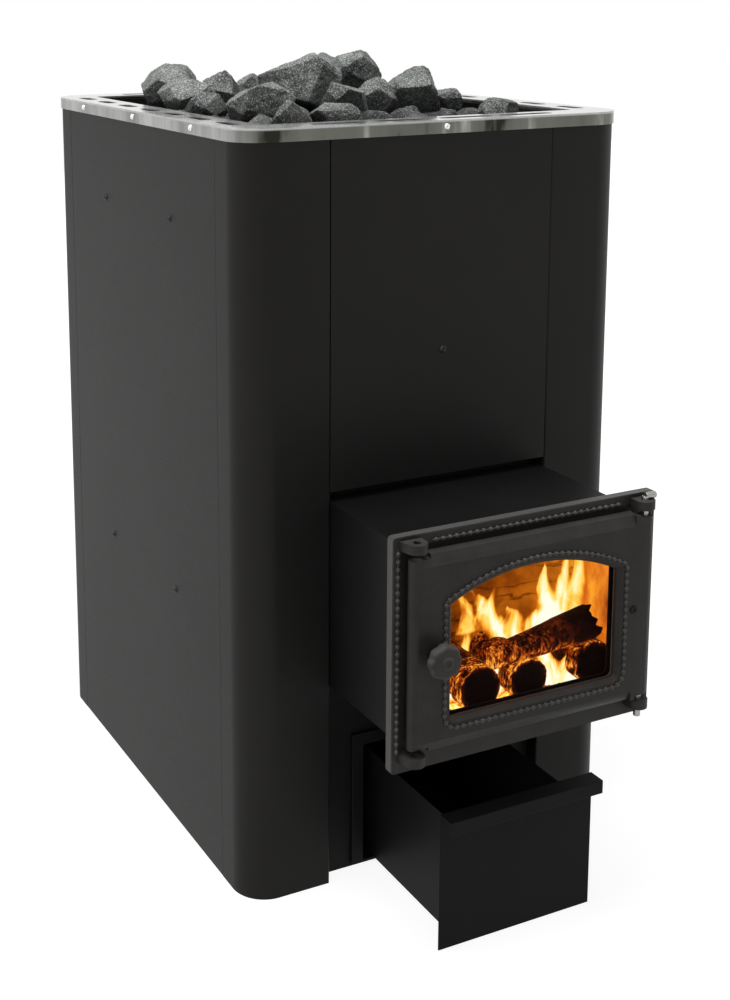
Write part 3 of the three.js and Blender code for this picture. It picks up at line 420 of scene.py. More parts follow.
# Stove body: base plate, front plate in the niche, firebox, ash channel, cradle and flue collar, all welded
# plate under matt black stove paint that heat has dulled.
body_steel = stove_paint("body_steel", (0.0055, 0.0055, 0.0055), (0.0085, 0.0084, 0.0083), (0.50, 0.66), 900.0)
for node in ("base_plate", "body_front_plate", "firebox_floor", "firebox_roof", "firebox_shell", "stone_cradle",
             "baffle_plate", "ash_channel", "latch_cam", "glass_retainer"):
    nodes[node].data.materials.clear()
    nodes[node].data.materials.append(body_steel)
softened("ash_mouth_frame", 0.0008, material=body_steel)
softened("flue_collar", 0.0004, material=body_steel, sharp=35.0)

# Fire bricks: pressed clay slabs that line the firebox, stained, with the fire's light on them painted in as a glow.
fire_brick, brick_tree, brick_shader = finish("fire_brick", (0.20, 0.09, 0.04), 0.9)
clay = spots(brick_tree, 30.0, 7.0, 0.66, (1.0, 1.0, 2.2))
brick_tree.links.new(between(brick_tree, clay, [(0.3, (0.12, 0.045, 0.015)), (0.7, (0.30, 0.15, 0.06))]),
                     brick_shader.inputs["Base Color"])
# Painted firelight: an orange glow that follows the clay's noise.
brick_tree.links.new(between(brick_tree, clay, [(0.30, (0.07, 0.012, 0.001)), (0.44, (0.24, 0.043, 0.003)),
                                                (0.58, (0.50, 0.115, 0.006)), (0.72, (0.80, 0.24, 0.012))]),
                     brick_shader.inputs["Emission Color"])
brick_shader.inputs["Emission Strength"].default_value = 1.0
roughen(brick_tree, brick_shader, clay, 0.5, 0.003)
for node in ("fire_brick_left", "fire_brick_right", "fire_brick_rear"):
    nodes[node].data.materials.clear()
    nodes[node].data.materials.append(fire_brick)

# Stones: split olivine rock, each lump cleft along a few planes with worn edges, heaped above the rim.
# The broken faces are grey with pale crystals and a dark green cast.


def dice(seed):
    """Even random numbers from a 32-bit congruential step, one generator for each stone."""
    state = (seed * 7919 + 12345) % 2**32
    while True:
        state = (state * 1664525 + 1013904223) % 2**32
        yield state / 2**32


def spiral_directions(count, phase):
    """Directions spread evenly over a sphere on a golden-angle spiral."""
    index = np.arange(count)
    z = 1 - (2 * index + 1) / count
    around = index * math.pi * (3 - math.sqrt(5)) + phase
    ring = np.sqrt(1 - z * z)
    return np.stack([ring * np.cos(around), ring * np.sin(around), z], axis=1)


def sphere_grid(rows, columns):
    """Unit directions: one pole, rows of latitude, the other pole; and the faces that close them."""
    latitude = np.linspace(-np.pi / 2, np.pi / 2, rows + 2)[1:-1, None]
    longitude = np.linspace(0, 2 * np.pi, columns, endpoint=False)[None, :]
    body = np.stack([np.cos(latitude) * np.cos(longitude), np.cos(latitude) * np.sin(longitude),
                     np.sin(latitude) + 0 * longitude], axis=-1).reshape(-1, 3)
    directions = np.vstack([[[0, 0, -1]], body, [[0, 0, 1]]])
    faces = grid_faces(rows, columns, wrap_columns=True, first=1)
    last = len(directions) - 1
    start = 1 + (rows - 1) * columns
    faces += [[0, 1 + (i + 1) % columns, 1 + i] for i in range(columns)]
    faces += [[last, start + i, start + (i + 1) % columns] for i in range(columns)]
    return directions, faces


def ripple(points, wave, phases):
    """Rough surface relief: a sum of sine waves that cross, each octave shorter and weaker than the last."""
    relief = np.zeros(len(points))
    for octave in range(4):
        swing = wave * 1.9**octave
        turn = points @ np.array([[0.8, 0.5, -0.3], [-0.5, 0.8, 0.4], [0.3, -0.4, 0.85]])
        relief += np.sin(turn[:, 0] * swing + phases[octave]) * np.sin(turn[:, 1] * swing * 1.1 + phases[octave + 1]) \
            * np.sin(turn[:, 2] * swing * 0.9 + phases[octave + 2]) / 1.55**octave
        points = turn
    return relief


def split_planes(roll_of):
    """The nine planes that a unit stone is split along: their normals, and how far they lie from its middle."""
    normals = spiral_directions(9, 2 * np.pi * next(roll_of))
    distances = np.zeros(9)
    for k in range(9):
        normals[k] += 0.9 * (np.array([next(roll_of), next(roll_of), next(roll_of)]) - 0.5)
        distances[k] = 0.66 + 0.26 * next(roll_of)
    return normals / np.linalg.norm(normals, axis=1)[:, None], distances


def nearest_plane(directions, normals, distances, sharpness):
    """How far each direction runs before the nearest plane, as a soft minimum that wears the edges."""
    reaches = distances / np.maximum(directions @ normals.T, 0.05)
    reaches = np.column_stack([reaches, np.full(len(directions), 1.3)])
    return 1.0 - np.log(np.exp(-sharpness * (reaches - 1.0)).sum(axis=1)) / sharpness


def stone_surface(seed, half, heading, rows, columns, rough=0.012):
    """A stone about its middle: along each direction it reaches the nearest of its cleft planes; small planes
    struck at random take off the tips that are left; then it is roughened, stretched and turned."""
    roll_of = dice(seed)
    normals, distances = split_planes(roll_of)
    phases = [6.3 * next(roll_of) for _ in range(8)]
    directions, faces = sphere_grid(rows, columns)
    reach = nearest_plane(directions, normals, distances, 320.0)
    chips = spiral_directions(24, phases[0]) + 0.4 * np.sin(phases[1] + np.arange(72).reshape(24, 3) * 2.4)
    chips /= np.linalg.norm(chips, axis=1)[:, None]
    struck = 1.00 + 0.12 * np.sin(phases[2] + np.arange(24) * 1.9)
    reach = np.minimum(reach, nearest_plane(directions, chips, struck, 320.0))
    reach = reach + rough * ripple(directions * reach[:, None], 7.5, phases)
    points = directions * reach[:, None] * np.asarray(half)
    c, s = math.cos(heading), math.sin(heading)
    return points @ np.array([[c, s, 0.0], [-s, c, 0.0], [0.0, 0.0, 1.0]]), faces


heater_stone, stone_tree, stone_shader = finish("heater_stone", (0.10, 0.105, 0.10), 0.85)
mineral = spots(stone_tree, 26.0, 8.0, 0.68)
crystals = spots(stone_tree, 620.0, 2.0, 0.6)
cleft_tone = between(stone_tree, mineral, [(0.30, (0.033, 0.037, 0.0355)), (0.49, (0.108, 0.117, 0.111)),
                                           (0.71, (0.23, 0.241, 0.229))])
sparkle = between(stone_tree, crystals, [(0.50, (0.0, 0.0, 0.0)), (0.68, (0.80, 0.81, 0.78))])
stone_mix = place(stone_tree, "ShaderNodeMixRGB", {"Fac": 0.44, "Color1": cleft_tone, "Color2": sparkle},
                  blend_type="ADD")
stone_up = place(stone_tree, "ShaderNodeSeparateXYZ", {0: place(stone_tree, "ShaderNodeNewGeometry").outputs["Normal"]})
# Painted light: faces that look up are made paler, and faces that look down darker.
stone_top_painted_light = grey_range(stone_tree, stone_up.outputs["Z"], 0.62, 1.42, -0.10, 0.75)
stone_at = place(stone_tree, "ShaderNodeSeparateXYZ", {0: place(stone_tree, "ShaderNodeTexCoord").outputs["Object"]})
# Painted shade: the stones grow darker towards the bed below the rim's top.
stone_low_painted_shade = grey_range(stone_tree, stone_at.outputs["Z"], 0.32, 1.0, rim_high[2] - 0.012, rim_high[2] + 0.018)
stone_shade = place(stone_tree, "ShaderNodeMath", {0: stone_top_painted_light, 1: stone_low_painted_shade}, operation="MULTIPLY").outputs[0]
shaded_stone = place(stone_tree, "ShaderNodeVectorMath", {0: stone_mix.outputs[0], "Scale": stone_shade}, operation="SCALE")
stone_tree.links.new(shaded_stone.outputs[0], stone_shader.inputs["Base Color"])
pits = spots(stone_tree, 190.0, 7.0, 0.7)
roughen(stone_tree, stone_shader, pits, 0.85, 0.004)
stone_shader.inputs["Specular IOR Level"].default_value = 0.12
# Stones as (across, along, lift over the rim, half sizes, heading), where across and along are shares of the
# room that is left round the stone inside the cradle.
stones = {
    "stone_rear_left": (-0.89, 0.80, 0.012, 0.04, 0.042, 0.031, 0.3),
    "stone_left": (-0.54, 0.48, 0.008, 0.031, 0.029, 0.025, 1.1),
    "stone_left_slab": (-0.91, 0.32, 0.005, 0.027, 0.033, 0.025, 0.5),
    "stone_left_small": (-0.90, -0.02, -0.002, 0.023, 0.023, 0.02, 2.0),
    "stone_rear_middle": (0.01, 0.85, 0.003, 0.027, 0.026, 0.023, 0.7),
    "stone_peak": (0.11, 0.27, 0.018, 0.052, 0.047, 0.037, 0.2),
    "stone_front_left": (-0.90, -0.61, 0.009, 0.034, 0.037, 0.028, 0.9),
    "stone_front_block": (-0.84, -0.93, -0.004, 0.02, 0.019, 0.025, 0.1),
    "stone_front_flat": (-0.55, -0.98, -0.001, 0.033, 0.022, 0.017, 0.2),
    "stone_front_pointed": (-0.22, -0.63, 0.009, 0.025, 0.024, 0.023, 0.5),
    "stone_rear_right_top": (0.73, 0.93, 0.022, 0.034, 0.032, 0.029, 1.4),
    "stone_right_top": (0.80, 0.59, 0.022, 0.04, 0.036, 0.031, 0.6),
    "stone_middle_right": (0.21, -0.38, 0.005, 0.024, 0.025, 0.026, 1.7),
    "stone_right_large": (0.64, -0.35, 0.009, 0.041, 0.038, 0.029, 2.4),
    "stone_right_small": (0.96, -0.17, -0.004, 0.02, 0.023, 0.022, 0.4),
    "stone_right_low": (0.81, -0.93, -0.003, 0.029, 0.024, 0.016, 0.8),
}
bed_low, bed_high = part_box("stone_bed")
room_x, room_y = bed_high[0], bed_high[1]
for number, (name, (across, along, lift, half_x, half_y, half_z, heading)) in enumerate(stones.items()):
    spare = 1.05 * max(half_x, half_y)
    middle = np.array([across * (room_x - spare), along * (room_y - spare), rim_high[2] + lift])
    points, faces = stone_surface(number + 1, (half_x, half_y, half_z), heading, 100, 150, 0.020)
    add_piece(name + "_rock", points + middle, faces, heater_stone, "stove", (name,), sharp=180.0)

# Bed: the smaller stones under the top layer, packed in two staggered layers from wall to wall.
bed_points, bed_faces = [], []
bed_seed = 40
for layer, (depth, radius, columns, rows) in enumerate(((0.056, 0.036, 7, 9), (0.030, 0.030, 7, 9))):
    for row in range(rows):
        for column in range(columns):
            bed_seed += 1
            draw = dice(bed_seed)
            size = radius * (0.85 + 0.3 * next(draw))
            spread_x, spread_y = room_x - 1.08 * size, room_y - 1.08 * size
            x = np.clip(((column + 0.5 * ((row + layer) % 2)) / (columns - 0.5) * 2 - 1) * spread_x
                        + 0.012 * (next(draw) - 0.5), -spread_x, spread_x)
            y = np.clip((row / (rows - 1) * 2 - 1) * spread_y + 0.012 * (next(draw) - 0.5), -spread_y, spread_y)
            half = (size, size * (0.75 + 0.3 * next(draw)), size * (0.7 + 0.3 * next(draw)))
            points, faces = stone_surface(bed_seed, half, 6.3 * next(draw), 20, 30, 0.015)
            start = sum(len(p) for p in bed_points)
            bed_points.append(points + np.array([x, y, rim_high[2] - depth]))
            bed_faces += [[start + i for i in face] for face in faces]
add_piece("stone_bed_fill", np.vstack(bed_points), bed_faces, heater_stone, "stove",
          ("stone_bed",), sharp=180.0)

# Tunnel: a welded steel box that carries the door through the wall. Outside it is painted black; inside, the
# walls glow orange between dark joints, which is painted firelight.
tunnel_finish, tunnel_tree, tunnel_shader = finish("tunnel_steel", (0.0105, 0.0103, 0.0102), 0.5)
tunnel_low, tunnel_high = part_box("fire_tunnel")
TUNNEL_WALL = 0.002
tunnel_place = place(tunnel_tree, "ShaderNodeSeparateXYZ",
                     {0: place(tunnel_tree, "ShaderNodeTexCoord").outputs["Object"]})
skin = tunnel_high[0] - TUNNEL_WALL / 2
off_middle = place(tunnel_tree, "ShaderNodeMath", {0: tunnel_place.outputs["X"]}, operation="ABSOLUTE")
within_x = place(tunnel_tree, "ShaderNodeMath", {0: off_middle.outputs[0], 1: skin}, operation="LESS_THAN")
above = place(tunnel_tree, "ShaderNodeMath", {0: tunnel_place.outputs["Z"], 1: tunnel_low[2] + TUNNEL_WALL / 2},
              operation="GREATER_THAN")
below = place(tunnel_tree, "ShaderNodeMath", {0: tunnel_place.outputs["Z"], 1: tunnel_high[2] - TUNNEL_WALL / 2},
              operation="LESS_THAN")
within_z = place(tunnel_tree, "ShaderNodeMath", {0: above.outputs[0], 1: below.outputs[0]}, operation="MULTIPLY")
inside_mask = place(tunnel_tree, "ShaderNodeMath", {0: within_x.outputs[0], 1: within_z.outputs[0]},
                    operation="MULTIPLY").outputs[0]
# Painted firelight: the inner walls glow orange where this noise is high.
heat = spots(tunnel_tree, 34.0, 6.0, 0.65, (1.0, 1.0, 0.5))
tunnel_painted_firelight_tone = between(tunnel_tree, heat, [(0.30, (0.22, 0.030, 0.002)), (0.50, (0.72, 0.16, 0.008)),
                                        (0.68, (1.0, 0.36, 0.025))])
tunnel_painted_firelight = place(tunnel_tree, "ShaderNodeMixRGB", {"Fac": inside_mask, "Color1": (0, 0, 0, 1), "Color2": tunnel_painted_firelight_tone})
tunnel_tree.links.new(tunnel_painted_firelight.outputs[0], tunnel_shader.inputs["Emission Color"])
tunnel_shader.inputs["Emission Strength"].default_value = 1.0
tunnel_shader.inputs["Specular IOR Level"].default_value = 0.12
tunnel_drift = spots(tunnel_tree, 7.0, 5.0, 0.6)
tunnel_tree.links.new(between(tunnel_tree, tunnel_drift, [(0.3, (0.0050, 0.0050, 0.0050)),
                                                          (0.7, (0.0085, 0.0084, 0.0083))]),
                      tunnel_shader.inputs["Base Color"])
tunnel_grain = spots(tunnel_tree, 1100.0, 2.0)
tunnel_tree.links.new(grey_range(tunnel_tree, tunnel_grain, 0.36, 0.52), tunnel_shader.inputs["Roughness"])
roughen(tunnel_tree, tunnel_shader, tunnel_grain, 0.2, 0.0004)
softened("fire_tunnel", 0.0007, material=tunnel_finish)

# Door frame: grey iron cast in sand with its four lugs, blackened; a rope bead is cast round its edge.
# The skin is finely pitted, and its left and top edges are made paler as a painted highlight.


def cast_iron_finish(name, dark, light):
    """Sand-cast iron under stove black: pitted at two scales, with a paler bloom where the noise is high, and
    painted light that makes the faces which look up paler."""
    material, tree, shader = finish(name, dark, 0.5)
    shader.inputs["Specular IOR Level"].default_value = 0.16
    bloom = between(tree, spots(tree, 38.0, 6.0, 0.65), [(0.32, dark), (0.7, light)])
    looking = place(tree, "ShaderNodeNewGeometry").outputs["Normal"]
    upward = place(tree, "ShaderNodeSeparateXYZ", {0: looking}).outputs["Z"]
    # Painted light: faces that look up are made paler.
    iron_top_painted_light = grey_range(tree, upward, 1.0, 1.7, 0.12, 0.60)
    tone = place(tree, "ShaderNodeVectorMath", {0: bloom, "Scale": iron_top_painted_light}, operation="SCALE").outputs[0]
    tree.links.new(tone, shader.inputs["Base Color"])
    sand = spots(tree, 620.0, 4.0, 0.6)
    tree.links.new(grey_range(tree, sand, 0.40, 0.60), shader.inputs["Roughness"])
    roughen(tree, shader, sand, 0.3, 0.0006)
    return material


cast_iron = cast_iron_finish("cast_iron", (0.019, 0.0180, 0.0167), (0.029, 0.0272, 0.0254))
frame_iron = cast_iron_finish("frame_iron", (0.022, 0.0207, 0.0193), (0.033, 0.0310, 0.0290))
frame_low, frame_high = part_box("door_frame")
frame_highlight_tree = frame_iron.node_tree
frame_highlight_shader = frame_highlight_tree.nodes["Principled BSDF"]
frame_highlight_at = place(frame_highlight_tree, "ShaderNodeSeparateXYZ", {0: place(frame_highlight_tree, "ShaderNodeTexCoord").outputs["Object"]})
# Painted highlight: a pale strip along the frame's left and top edges.
EDGE_HIGHLIGHT_WIDTH = 0.0018
frame_left_highlight = grey_range(frame_highlight_tree, frame_highlight_at.outputs["X"], 1.0, 0.0, frame_low[0], frame_low[0] + EDGE_HIGHLIGHT_WIDTH)
frame_top_highlight = grey_range(frame_highlight_tree, frame_highlight_at.outputs["Z"], 0.0, 1.0, frame_high[2] - EDGE_HIGHLIGHT_WIDTH, frame_high[2])
frame_edge_highlight = place(frame_highlight_tree, "ShaderNodeMath", {0: frame_left_highlight, 1: frame_top_highlight}, operation="MAXIMUM").outputs[0]
before_highlight = frame_highlight_shader.inputs["Base Color"].links[0].from_socket
frame_highlight_tone = place(frame_highlight_tree, "ShaderNodeMixRGB", {"Fac": frame_edge_highlight, "Color1": before_highlight, "Color2": (0.085, 0.082, 0.078, 1.0)})
frame_highlight_tree.links.new(frame_highlight_tone.outputs[0], frame_highlight_shader.inputs["Base Color"])
softened("door_frame", 0.0016, 3, material=frame_iron, sharp=30.0)


# The pearls get a paler iron than the frame they are cast on: painted highlight.
bead_iron_painted_highlight = cast_iron_finish("bead_iron_painted_highlight", (0.052, 0.050, 0.047), (0.076, 0.073, 0.069))


def rope_bead(name, path, radius, pitch, body, closed=False):
    """A row of cast pearls: a round section carried along the path, its radius a thin cord that swells once
    every pitch into half a ball, as the root of what is left of one after the distance squared."""
    path = np.asarray(path, float)
    if closed:
        path = np.vstack([path, path[:1]])
    lengths = np.concatenate([[0.0], np.cumsum(np.linalg.norm(np.diff(path, axis=0), axis=1))])
    pearls = max(1, int(round(lengths[-1] / pitch)))
    steps = pearls * 24
    along = np.linspace(0.0, lengths[-1], steps + 1)
    line = np.stack([np.interp(along, lengths, path[:, axis]) for axis in range(3)], axis=1)
    tangent = np.gradient(line, axis=0)
    tangent /= np.linalg.norm(tangent, axis=1)[:, None]
    out = np.array([0.0, -1.0, 0.0])
    side = np.cross(tangent, out)
    off_pearl = ((np.arange(steps + 1) / 24) % 1.0 - 0.5) * lengths[-1] / pearls
    swell = np.sqrt(np.maximum(radius**2 - off_pearl**2, (0.3 * radius) ** 2))
    around = 14
    angle = np.linspace(0.0, 2 * np.pi, around, endpoint=False)
    points = line[:, None, :] + swell[:, None, None] * (
        np.cos(angle)[None, :, None] * side[:, None, :] + np.sin(angle)[None, :, None] * out)
    faces = grid_faces(steps + 1, around, wrap_columns=True)
    faces += [list(range(around)), [steps * around + i for i in range(around)][::-1]]
    made = add_piece(name, points.reshape(-1, 3), faces, bead_iron_painted_highlight, body, sharp=60.0)
    shape = bmesh.new()
    shape.from_mesh(made.data)
    bmesh.ops.recalc_face_normals(shape, faces=shape.faces)
    shape.to_mesh(made.data)
    shape.free()
    return made


frame_low, frame_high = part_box("door_frame")
leaf_low, leaf_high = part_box("door_leaf")
FRAME_FACE = leaf_high[1] + 0.0015
BEAD_SIDE = 0.0055
BEAD_END = 0.0082
BEAD_RADIUS = 0.0022
BEAD_PITCH = 0.0075
LUG_REACH = 0.042
BEAD_CLEAR = 0.012
bead_left = frame_low[0] + BEAD_SIDE
bead_right = frame_high[0] - BEAD_SIDE
bead_top = frame_high[2] - BEAD_END
bead_low = frame_low[2] + 0.019
bead_depth = FRAME_FACE - 0.0006
for word, bead_x in (("left", bead_left), ("right", bead_right)):
    rope_bead("frame_bead_" + word, [(bead_x, bead_depth, bead_low), (bead_x, bead_depth, frame_high[2] - BEAD_CLEAR)],
              BEAD_RADIUS, BEAD_PITCH, "stove")
rope_bead("frame_bead_top", [(frame_low[0] + LUG_REACH, bead_depth, bead_top),
                             (frame_high[0] - LUG_REACH, bead_depth, bead_top)], BEAD_RADIUS, BEAD_PITCH, "stove")

# Door leaf: one casting with round edges, bevelled at the top and bottom, round an arched window whose
# edge is flared. A rope bead runs round the window, and a plug closes the spare knob hole on the hinge side.
softened("door_leaf", 0.0012, 3, material=cast_iron, sharp=30.0, body="door")
WINDOW_SIDE, WINDOW_TOP, WINDOW_BOTTOM, ARCH_RISE = 0.043, 0.029, 0.0285, 0.023
window_half = leaf_high[0] - WINDOW_SIDE
window_high = leaf_high[2] - WINDOW_TOP
window_low = leaf_low[2] + WINDOW_BOTTOM


def window_line(grow, corner=0.005):
    """The arched window's outline, moved out by grow: an arc through the crown, straight sides, and small
    round corners at the sill."""
    radius = (window_half**2 + ARCH_RISE**2) / (2 * ARCH_RISE)
    centre = window_high - radius
    half = window_half + grow
    spread = math.degrees(math.asin(half / (radius + grow)))
    corner = corner + grow
    low = window_low - grow
    return np.vstack([
        turned_arc(0.0, centre, radius + grow, 90 - spread, 90 + spread, 60),
        turned_arc(corner - half, low + corner, corner, 180, 270, 10),
        turned_arc(half - corner, low + corner, corner, 270, 360, 10),
    ])


leaf_face = leaf_low[1]
window_bead = window_line(0.0085)
bead_path = np.column_stack([window_bead[:, 0], np.full(len(window_bead), leaf_face - 0.0006), window_bead[:, 1]])
rope_bead("window_bead", bead_path, 0.0022, 0.0072, "door", closed=True)
plug_place = (leaf_high[0] - 0.024, leaf_face, (leaf_low[2] + leaf_high[2]) / 2)


def dished_disc(name, centre, radius, height, body, material):
    """A low round plug with a hollow in its middle: the profile rises, rolls over and dips to the centre."""
    rings, around = 14, 40
    share = np.linspace(0.0, 1.0, rings)[:, None]
    angle = np.linspace(0.0, 2 * np.pi, around, endpoint=False)[None, :]
    reach = radius * (1.0 - 0.97 * share)
    lift = height * np.minimum(1.0, share / 0.25) ** 0.5 - 0.9 * height * np.clip((share - 0.45) / 0.3, 0, 1)
    points = np.stack([centre[0] + reach * np.cos(angle), centre[1] - lift + 0.0 * angle,
                       centre[2] + reach * np.sin(angle)], axis=-1)
    faces = grid_faces(rings, around, wrap_columns=True)
    faces += [list(range(around))[::-1], [(rings - 1) * around + i for i in range(around)]]
    return add_piece(name, points.reshape(-1, 3), faces, material, body, sharp=60.0)


dished_disc("spare_hole_plug", plug_place, 0.0046, 0.0012, "door", body_steel)

# Rib cast on the leaf's back, which enters the frame's opening all round and keeps the fire from showing at the
# leaf's edges.
RIB_SIDE, RIB_END, RIB_CORNER = 0.0155, 0.0110, 0.0030
RIB_WIDTH, RIB_DEPTH, RIB_ROOT = 0.0028, 0.0070, 0.0006
rib_x = leaf_high[0] - RIB_SIDE - RIB_CORNER
rib_low, rib_high = leaf_low[2] + RIB_END + RIB_CORNER, leaf_high[2] - RIB_END - RIB_CORNER
rib_corners = ((rib_x, rib_low, -90), (rib_x, rib_high, 0), (-rib_x, rib_high, 90), (-rib_x, rib_low, 180))


def rib_loop(radius, depth):
    """A round-cornered loop of the rib in the plane of the leaf, so far behind it: four arcs joined by lines."""
    plan = np.vstack([turned_arc(x, z, radius, start, start + 90, 6) for x, z, start in rib_corners])
    return np.column_stack([plan[:, 0], np.full(len(plan), leaf_high[1] + depth), plan[:, 1]])


rib_inner = RIB_CORNER - RIB_WIDTH
rib_loops = [rib_loop(RIB_CORNER, -RIB_ROOT), rib_loop(RIB_CORNER, RIB_DEPTH), rib_loop(rib_inner, RIB_DEPTH),
             rib_loop(rib_inner, -RIB_ROOT)]
rib_faces = grid_faces(len(rib_loops), len(rib_loops[0]), wrap_rows=True, wrap_columns=True)
add_piece("leaf_back_rib", np.vstack(rib_loops), rib_faces, cast_iron, "door", sharp=40.0)

# Glass: a clear ceramic pane in a rope gasket, held from behind by a steel retainer.
door_glass, glass_tree, glass_shader = finish("fire_glass", (0.02, 0.02, 0.02), 0.03)
glass_shader.inputs["Alpha"].default_value = 0.02
glass_shader.inputs["Specular IOR Level"].default_value = 0.25
soot = spots(glass_tree, 30.0, 5.0, 0.6)
glass_tree.links.new(grey_range(glass_tree, soot, 0.02, 0.12), glass_shader.inputs["Roughness"])
nodes["door_glass"].data.materials.clear()
nodes["door_glass"].data.materials.append(door_glass)
gasket_rope, gasket_tree, gasket_shader = finish("gasket_rope", (0.16, 0.15, 0.13), 0.9)
braid = spots(gasket_tree, 700.0, 3.0)
gasket_tree.links.new(between(gasket_tree, braid, [(0.35, (0.08, 0.075, 0.065)), (0.7, (0.26, 0.24, 0.21))]),
                      gasket_shader.inputs["Base Color"])
roughen(gasket_tree, gasket_shader, braid, 0.6, 0.001)
nodes["glass_gasket"].data.materials.clear()
nodes["glass_gasket"].data.materials.append(gasket_rope)

# Hinge pins and spindle: bright drawn steel rod. The upper pin is bent over as a grip.
# Painted shade: the bright steel's colour is darkened to a dull grey.
pin_steel, pin_tree, pin_shader = finish("pin_steel", (0.30, 0.295, 0.285), 0.28, 1.0)
drawn = spots(pin_tree, 300.0, 3.0, 0.5, (1.0, 1.0, 0.1))
pin_tree.links.new(grey_range(pin_tree, drawn, 0.2, 0.4), pin_shader.inputs["Roughness"])
for node in ("hinge_pin_upper", "hinge_pin_lower"):
    softened(node, 0.0008, material=pin_steel, sharp=40.0)
softened("knob_spindle", 0.0004, material=pin_steel, sharp=40.0, body="knob")

# Knob: a fluted iron disc on a short neck, with a raised boss and a screw in its middle. Turning it swings
# the cam behind the frame.
knob_low, knob_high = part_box("knob")
knob_radius = (knob_high[0] - knob_low[0]) / 2
knob_middle = ((knob_high[0] + knob_low[0]) / 2, (knob_high[2] + knob_low[2]) / 2)
knob_depth = knob_high[1] - knob_low[1]
FLUTES = 8
# Profile as (share of the radius, share of the depth from the leaf, share of the flute's depth).
knob_profile = np.array([
    (0.00, 0.000, 0.0), (0.40, 0.000, 0.0), (0.42, 0.015, 0.0), (0.42, 0.370, 0.0), (0.46, 0.410, 0.0),
    (0.80, 0.430, 0.5), (0.93, 0.470, 1.0), (0.985, 0.540, 1.0), (1.00, 0.640, 1.0), (0.99, 0.760, 1.0),
    (0.95, 0.850, 0.9), (0.88, 0.905, 0.6), (0.78, 0.930, 0.2), (0.60, 0.925, 0.0), (0.42, 0.915, 0.0),
    (0.36, 0.925, 0.0), (0.33, 0.965, 0.0), (0.29, 0.995, 0.0), (0.20, 1.000, 0.0), (0.17, 0.985, 0.0),
    (0.15, 0.950, 0.0), (0.00, 0.945, 0.0)])
knob_angle = np.linspace(0.0, 2 * np.pi, 160, endpoint=False)[None, :]
scallop = 0.0013 * (0.5 - 0.5 * np.cos(FLUTES * knob_angle)) ** 1.5
knob_reach = np.maximum(knob_profile[:, :1] * knob_radius - knob_profile[:, 2:] * scallop, 0.00004)
knob_points = np.stack([knob_middle[0] + knob_reach * np.cos(knob_angle),
                        knob_high[1] - knob_profile[:, 1:2] * knob_depth + 0.0 * knob_angle,
                        knob_middle[1] + knob_reach * np.sin(knob_angle)], axis=-1)
knob_faces = grid_faces(len(knob_profile), 160, wrap_columns=True)
knob_faces += [list(range(160))[::-1], [(len(knob_profile) - 1) * 160 + i for i in range(160)]]
knob_iron = cast_iron_finish("knob_iron", (0.030, 0.029, 0.027), (0.045, 0.043, 0.041))
add_piece("knob_casting", knob_points.reshape(-1, 3), knob_faces, knob_iron, "knob", ("knob",), sharp=50.0)

# Ash drawer: a front folded from one sheet, whose top is bent forward and down as a grip, and a tray
# spot-welded behind it; the same black paint, a little smoother.
drawer_paint = stove_paint("drawer_paint", (0.0060, 0.0060, 0.0060), (0.0090, 0.0089, 0.0088), (0.44, 0.58), shine=0.07)
softened("ash_drawer_front", 0.0007, 3, material=drawer_paint, body="ash_drawer")
softened("ash_drawer_tray", 0.0004, material=drawer_paint, body="ash_drawer")
nodes["grate"].data.materials.clear()
nodes["grate"].data.materials.append(cast_iron)

# Fire: charred logs laid on live embers. The bark glows through its cracks by the heat that every point of the
# mesh carries: round the sawn ends, on the underside, and along the half of the cross log that has burnt thin.
def heat_of(tree):
    """The heat that a mesh carries, which is the first coordinate of its UV map."""
    return place(tree, "ShaderNodeSeparateXYZ", {0: place(tree, "ShaderNodeTexCoord").outputs["UV"]}).outputs["X"]


def carry_heat(made, heat):
    """Writes one heat per vertex of the mesh as the first coordinate of a UV map."""
    layer = made.data.uv_layers.new(name="heat")
    corner_vertex = np.zeros(len(made.data.loops), dtype=np.int32)
    made.data.loops.foreach_get("vertex_index", corner_vertex)
    pairs = np.stack([heat, 0.0 * heat], axis=-1)
    layer.data.foreach_set("uv", pairs[corner_vertex].reshape(-1))


charred, charred_tree, charred_shader = finish("charred_wood", (0.004, 0.002, 0.0015), 0.95)
charred_shader.inputs["Specular IOR Level"].default_value = 0.05
char_grain = spots(charred_tree, 75.0, 7.0, 0.72)
char_cracks = spots(charred_tree, 210.0, 3.0, 0.6, (1.9, 1.9, 0.55))
char_heat = heat_of(charred_tree)
char_dim = place(charred_tree, "ShaderNodeMath", {0: grey_range(charred_tree, char_cracks, 0.12, 1.25, 0.36, 0.60),
                                                  1: grey_range(charred_tree, char_grain, 0.05, 1.55, 0.36, 0.66)},
                 operation="MULTIPLY").outputs[0]
char_glow = place(charred_tree, "ShaderNodeMath", {0: char_heat, 1: char_dim}, operation="MULTIPLY").outputs[0]
charred_tree.links.new(between(charred_tree, char_glow, [(0.04, (0.0015, 0.0004, 0.0003)), (0.25, (0.050, 0.006, 0.001)),
                                                         (0.50, (0.36, 0.050, 0.003)), (0.80, (0.95, 0.27, 0.018)),
                                                         (1.0, (1.0, 0.50, 0.08))]),
                       charred_shader.inputs["Emission Color"])
charred_shader.inputs["Emission Strength"].default_value = 1.0
roughen(charred_tree, charred_shader, char_grain, 0.9, 0.004)


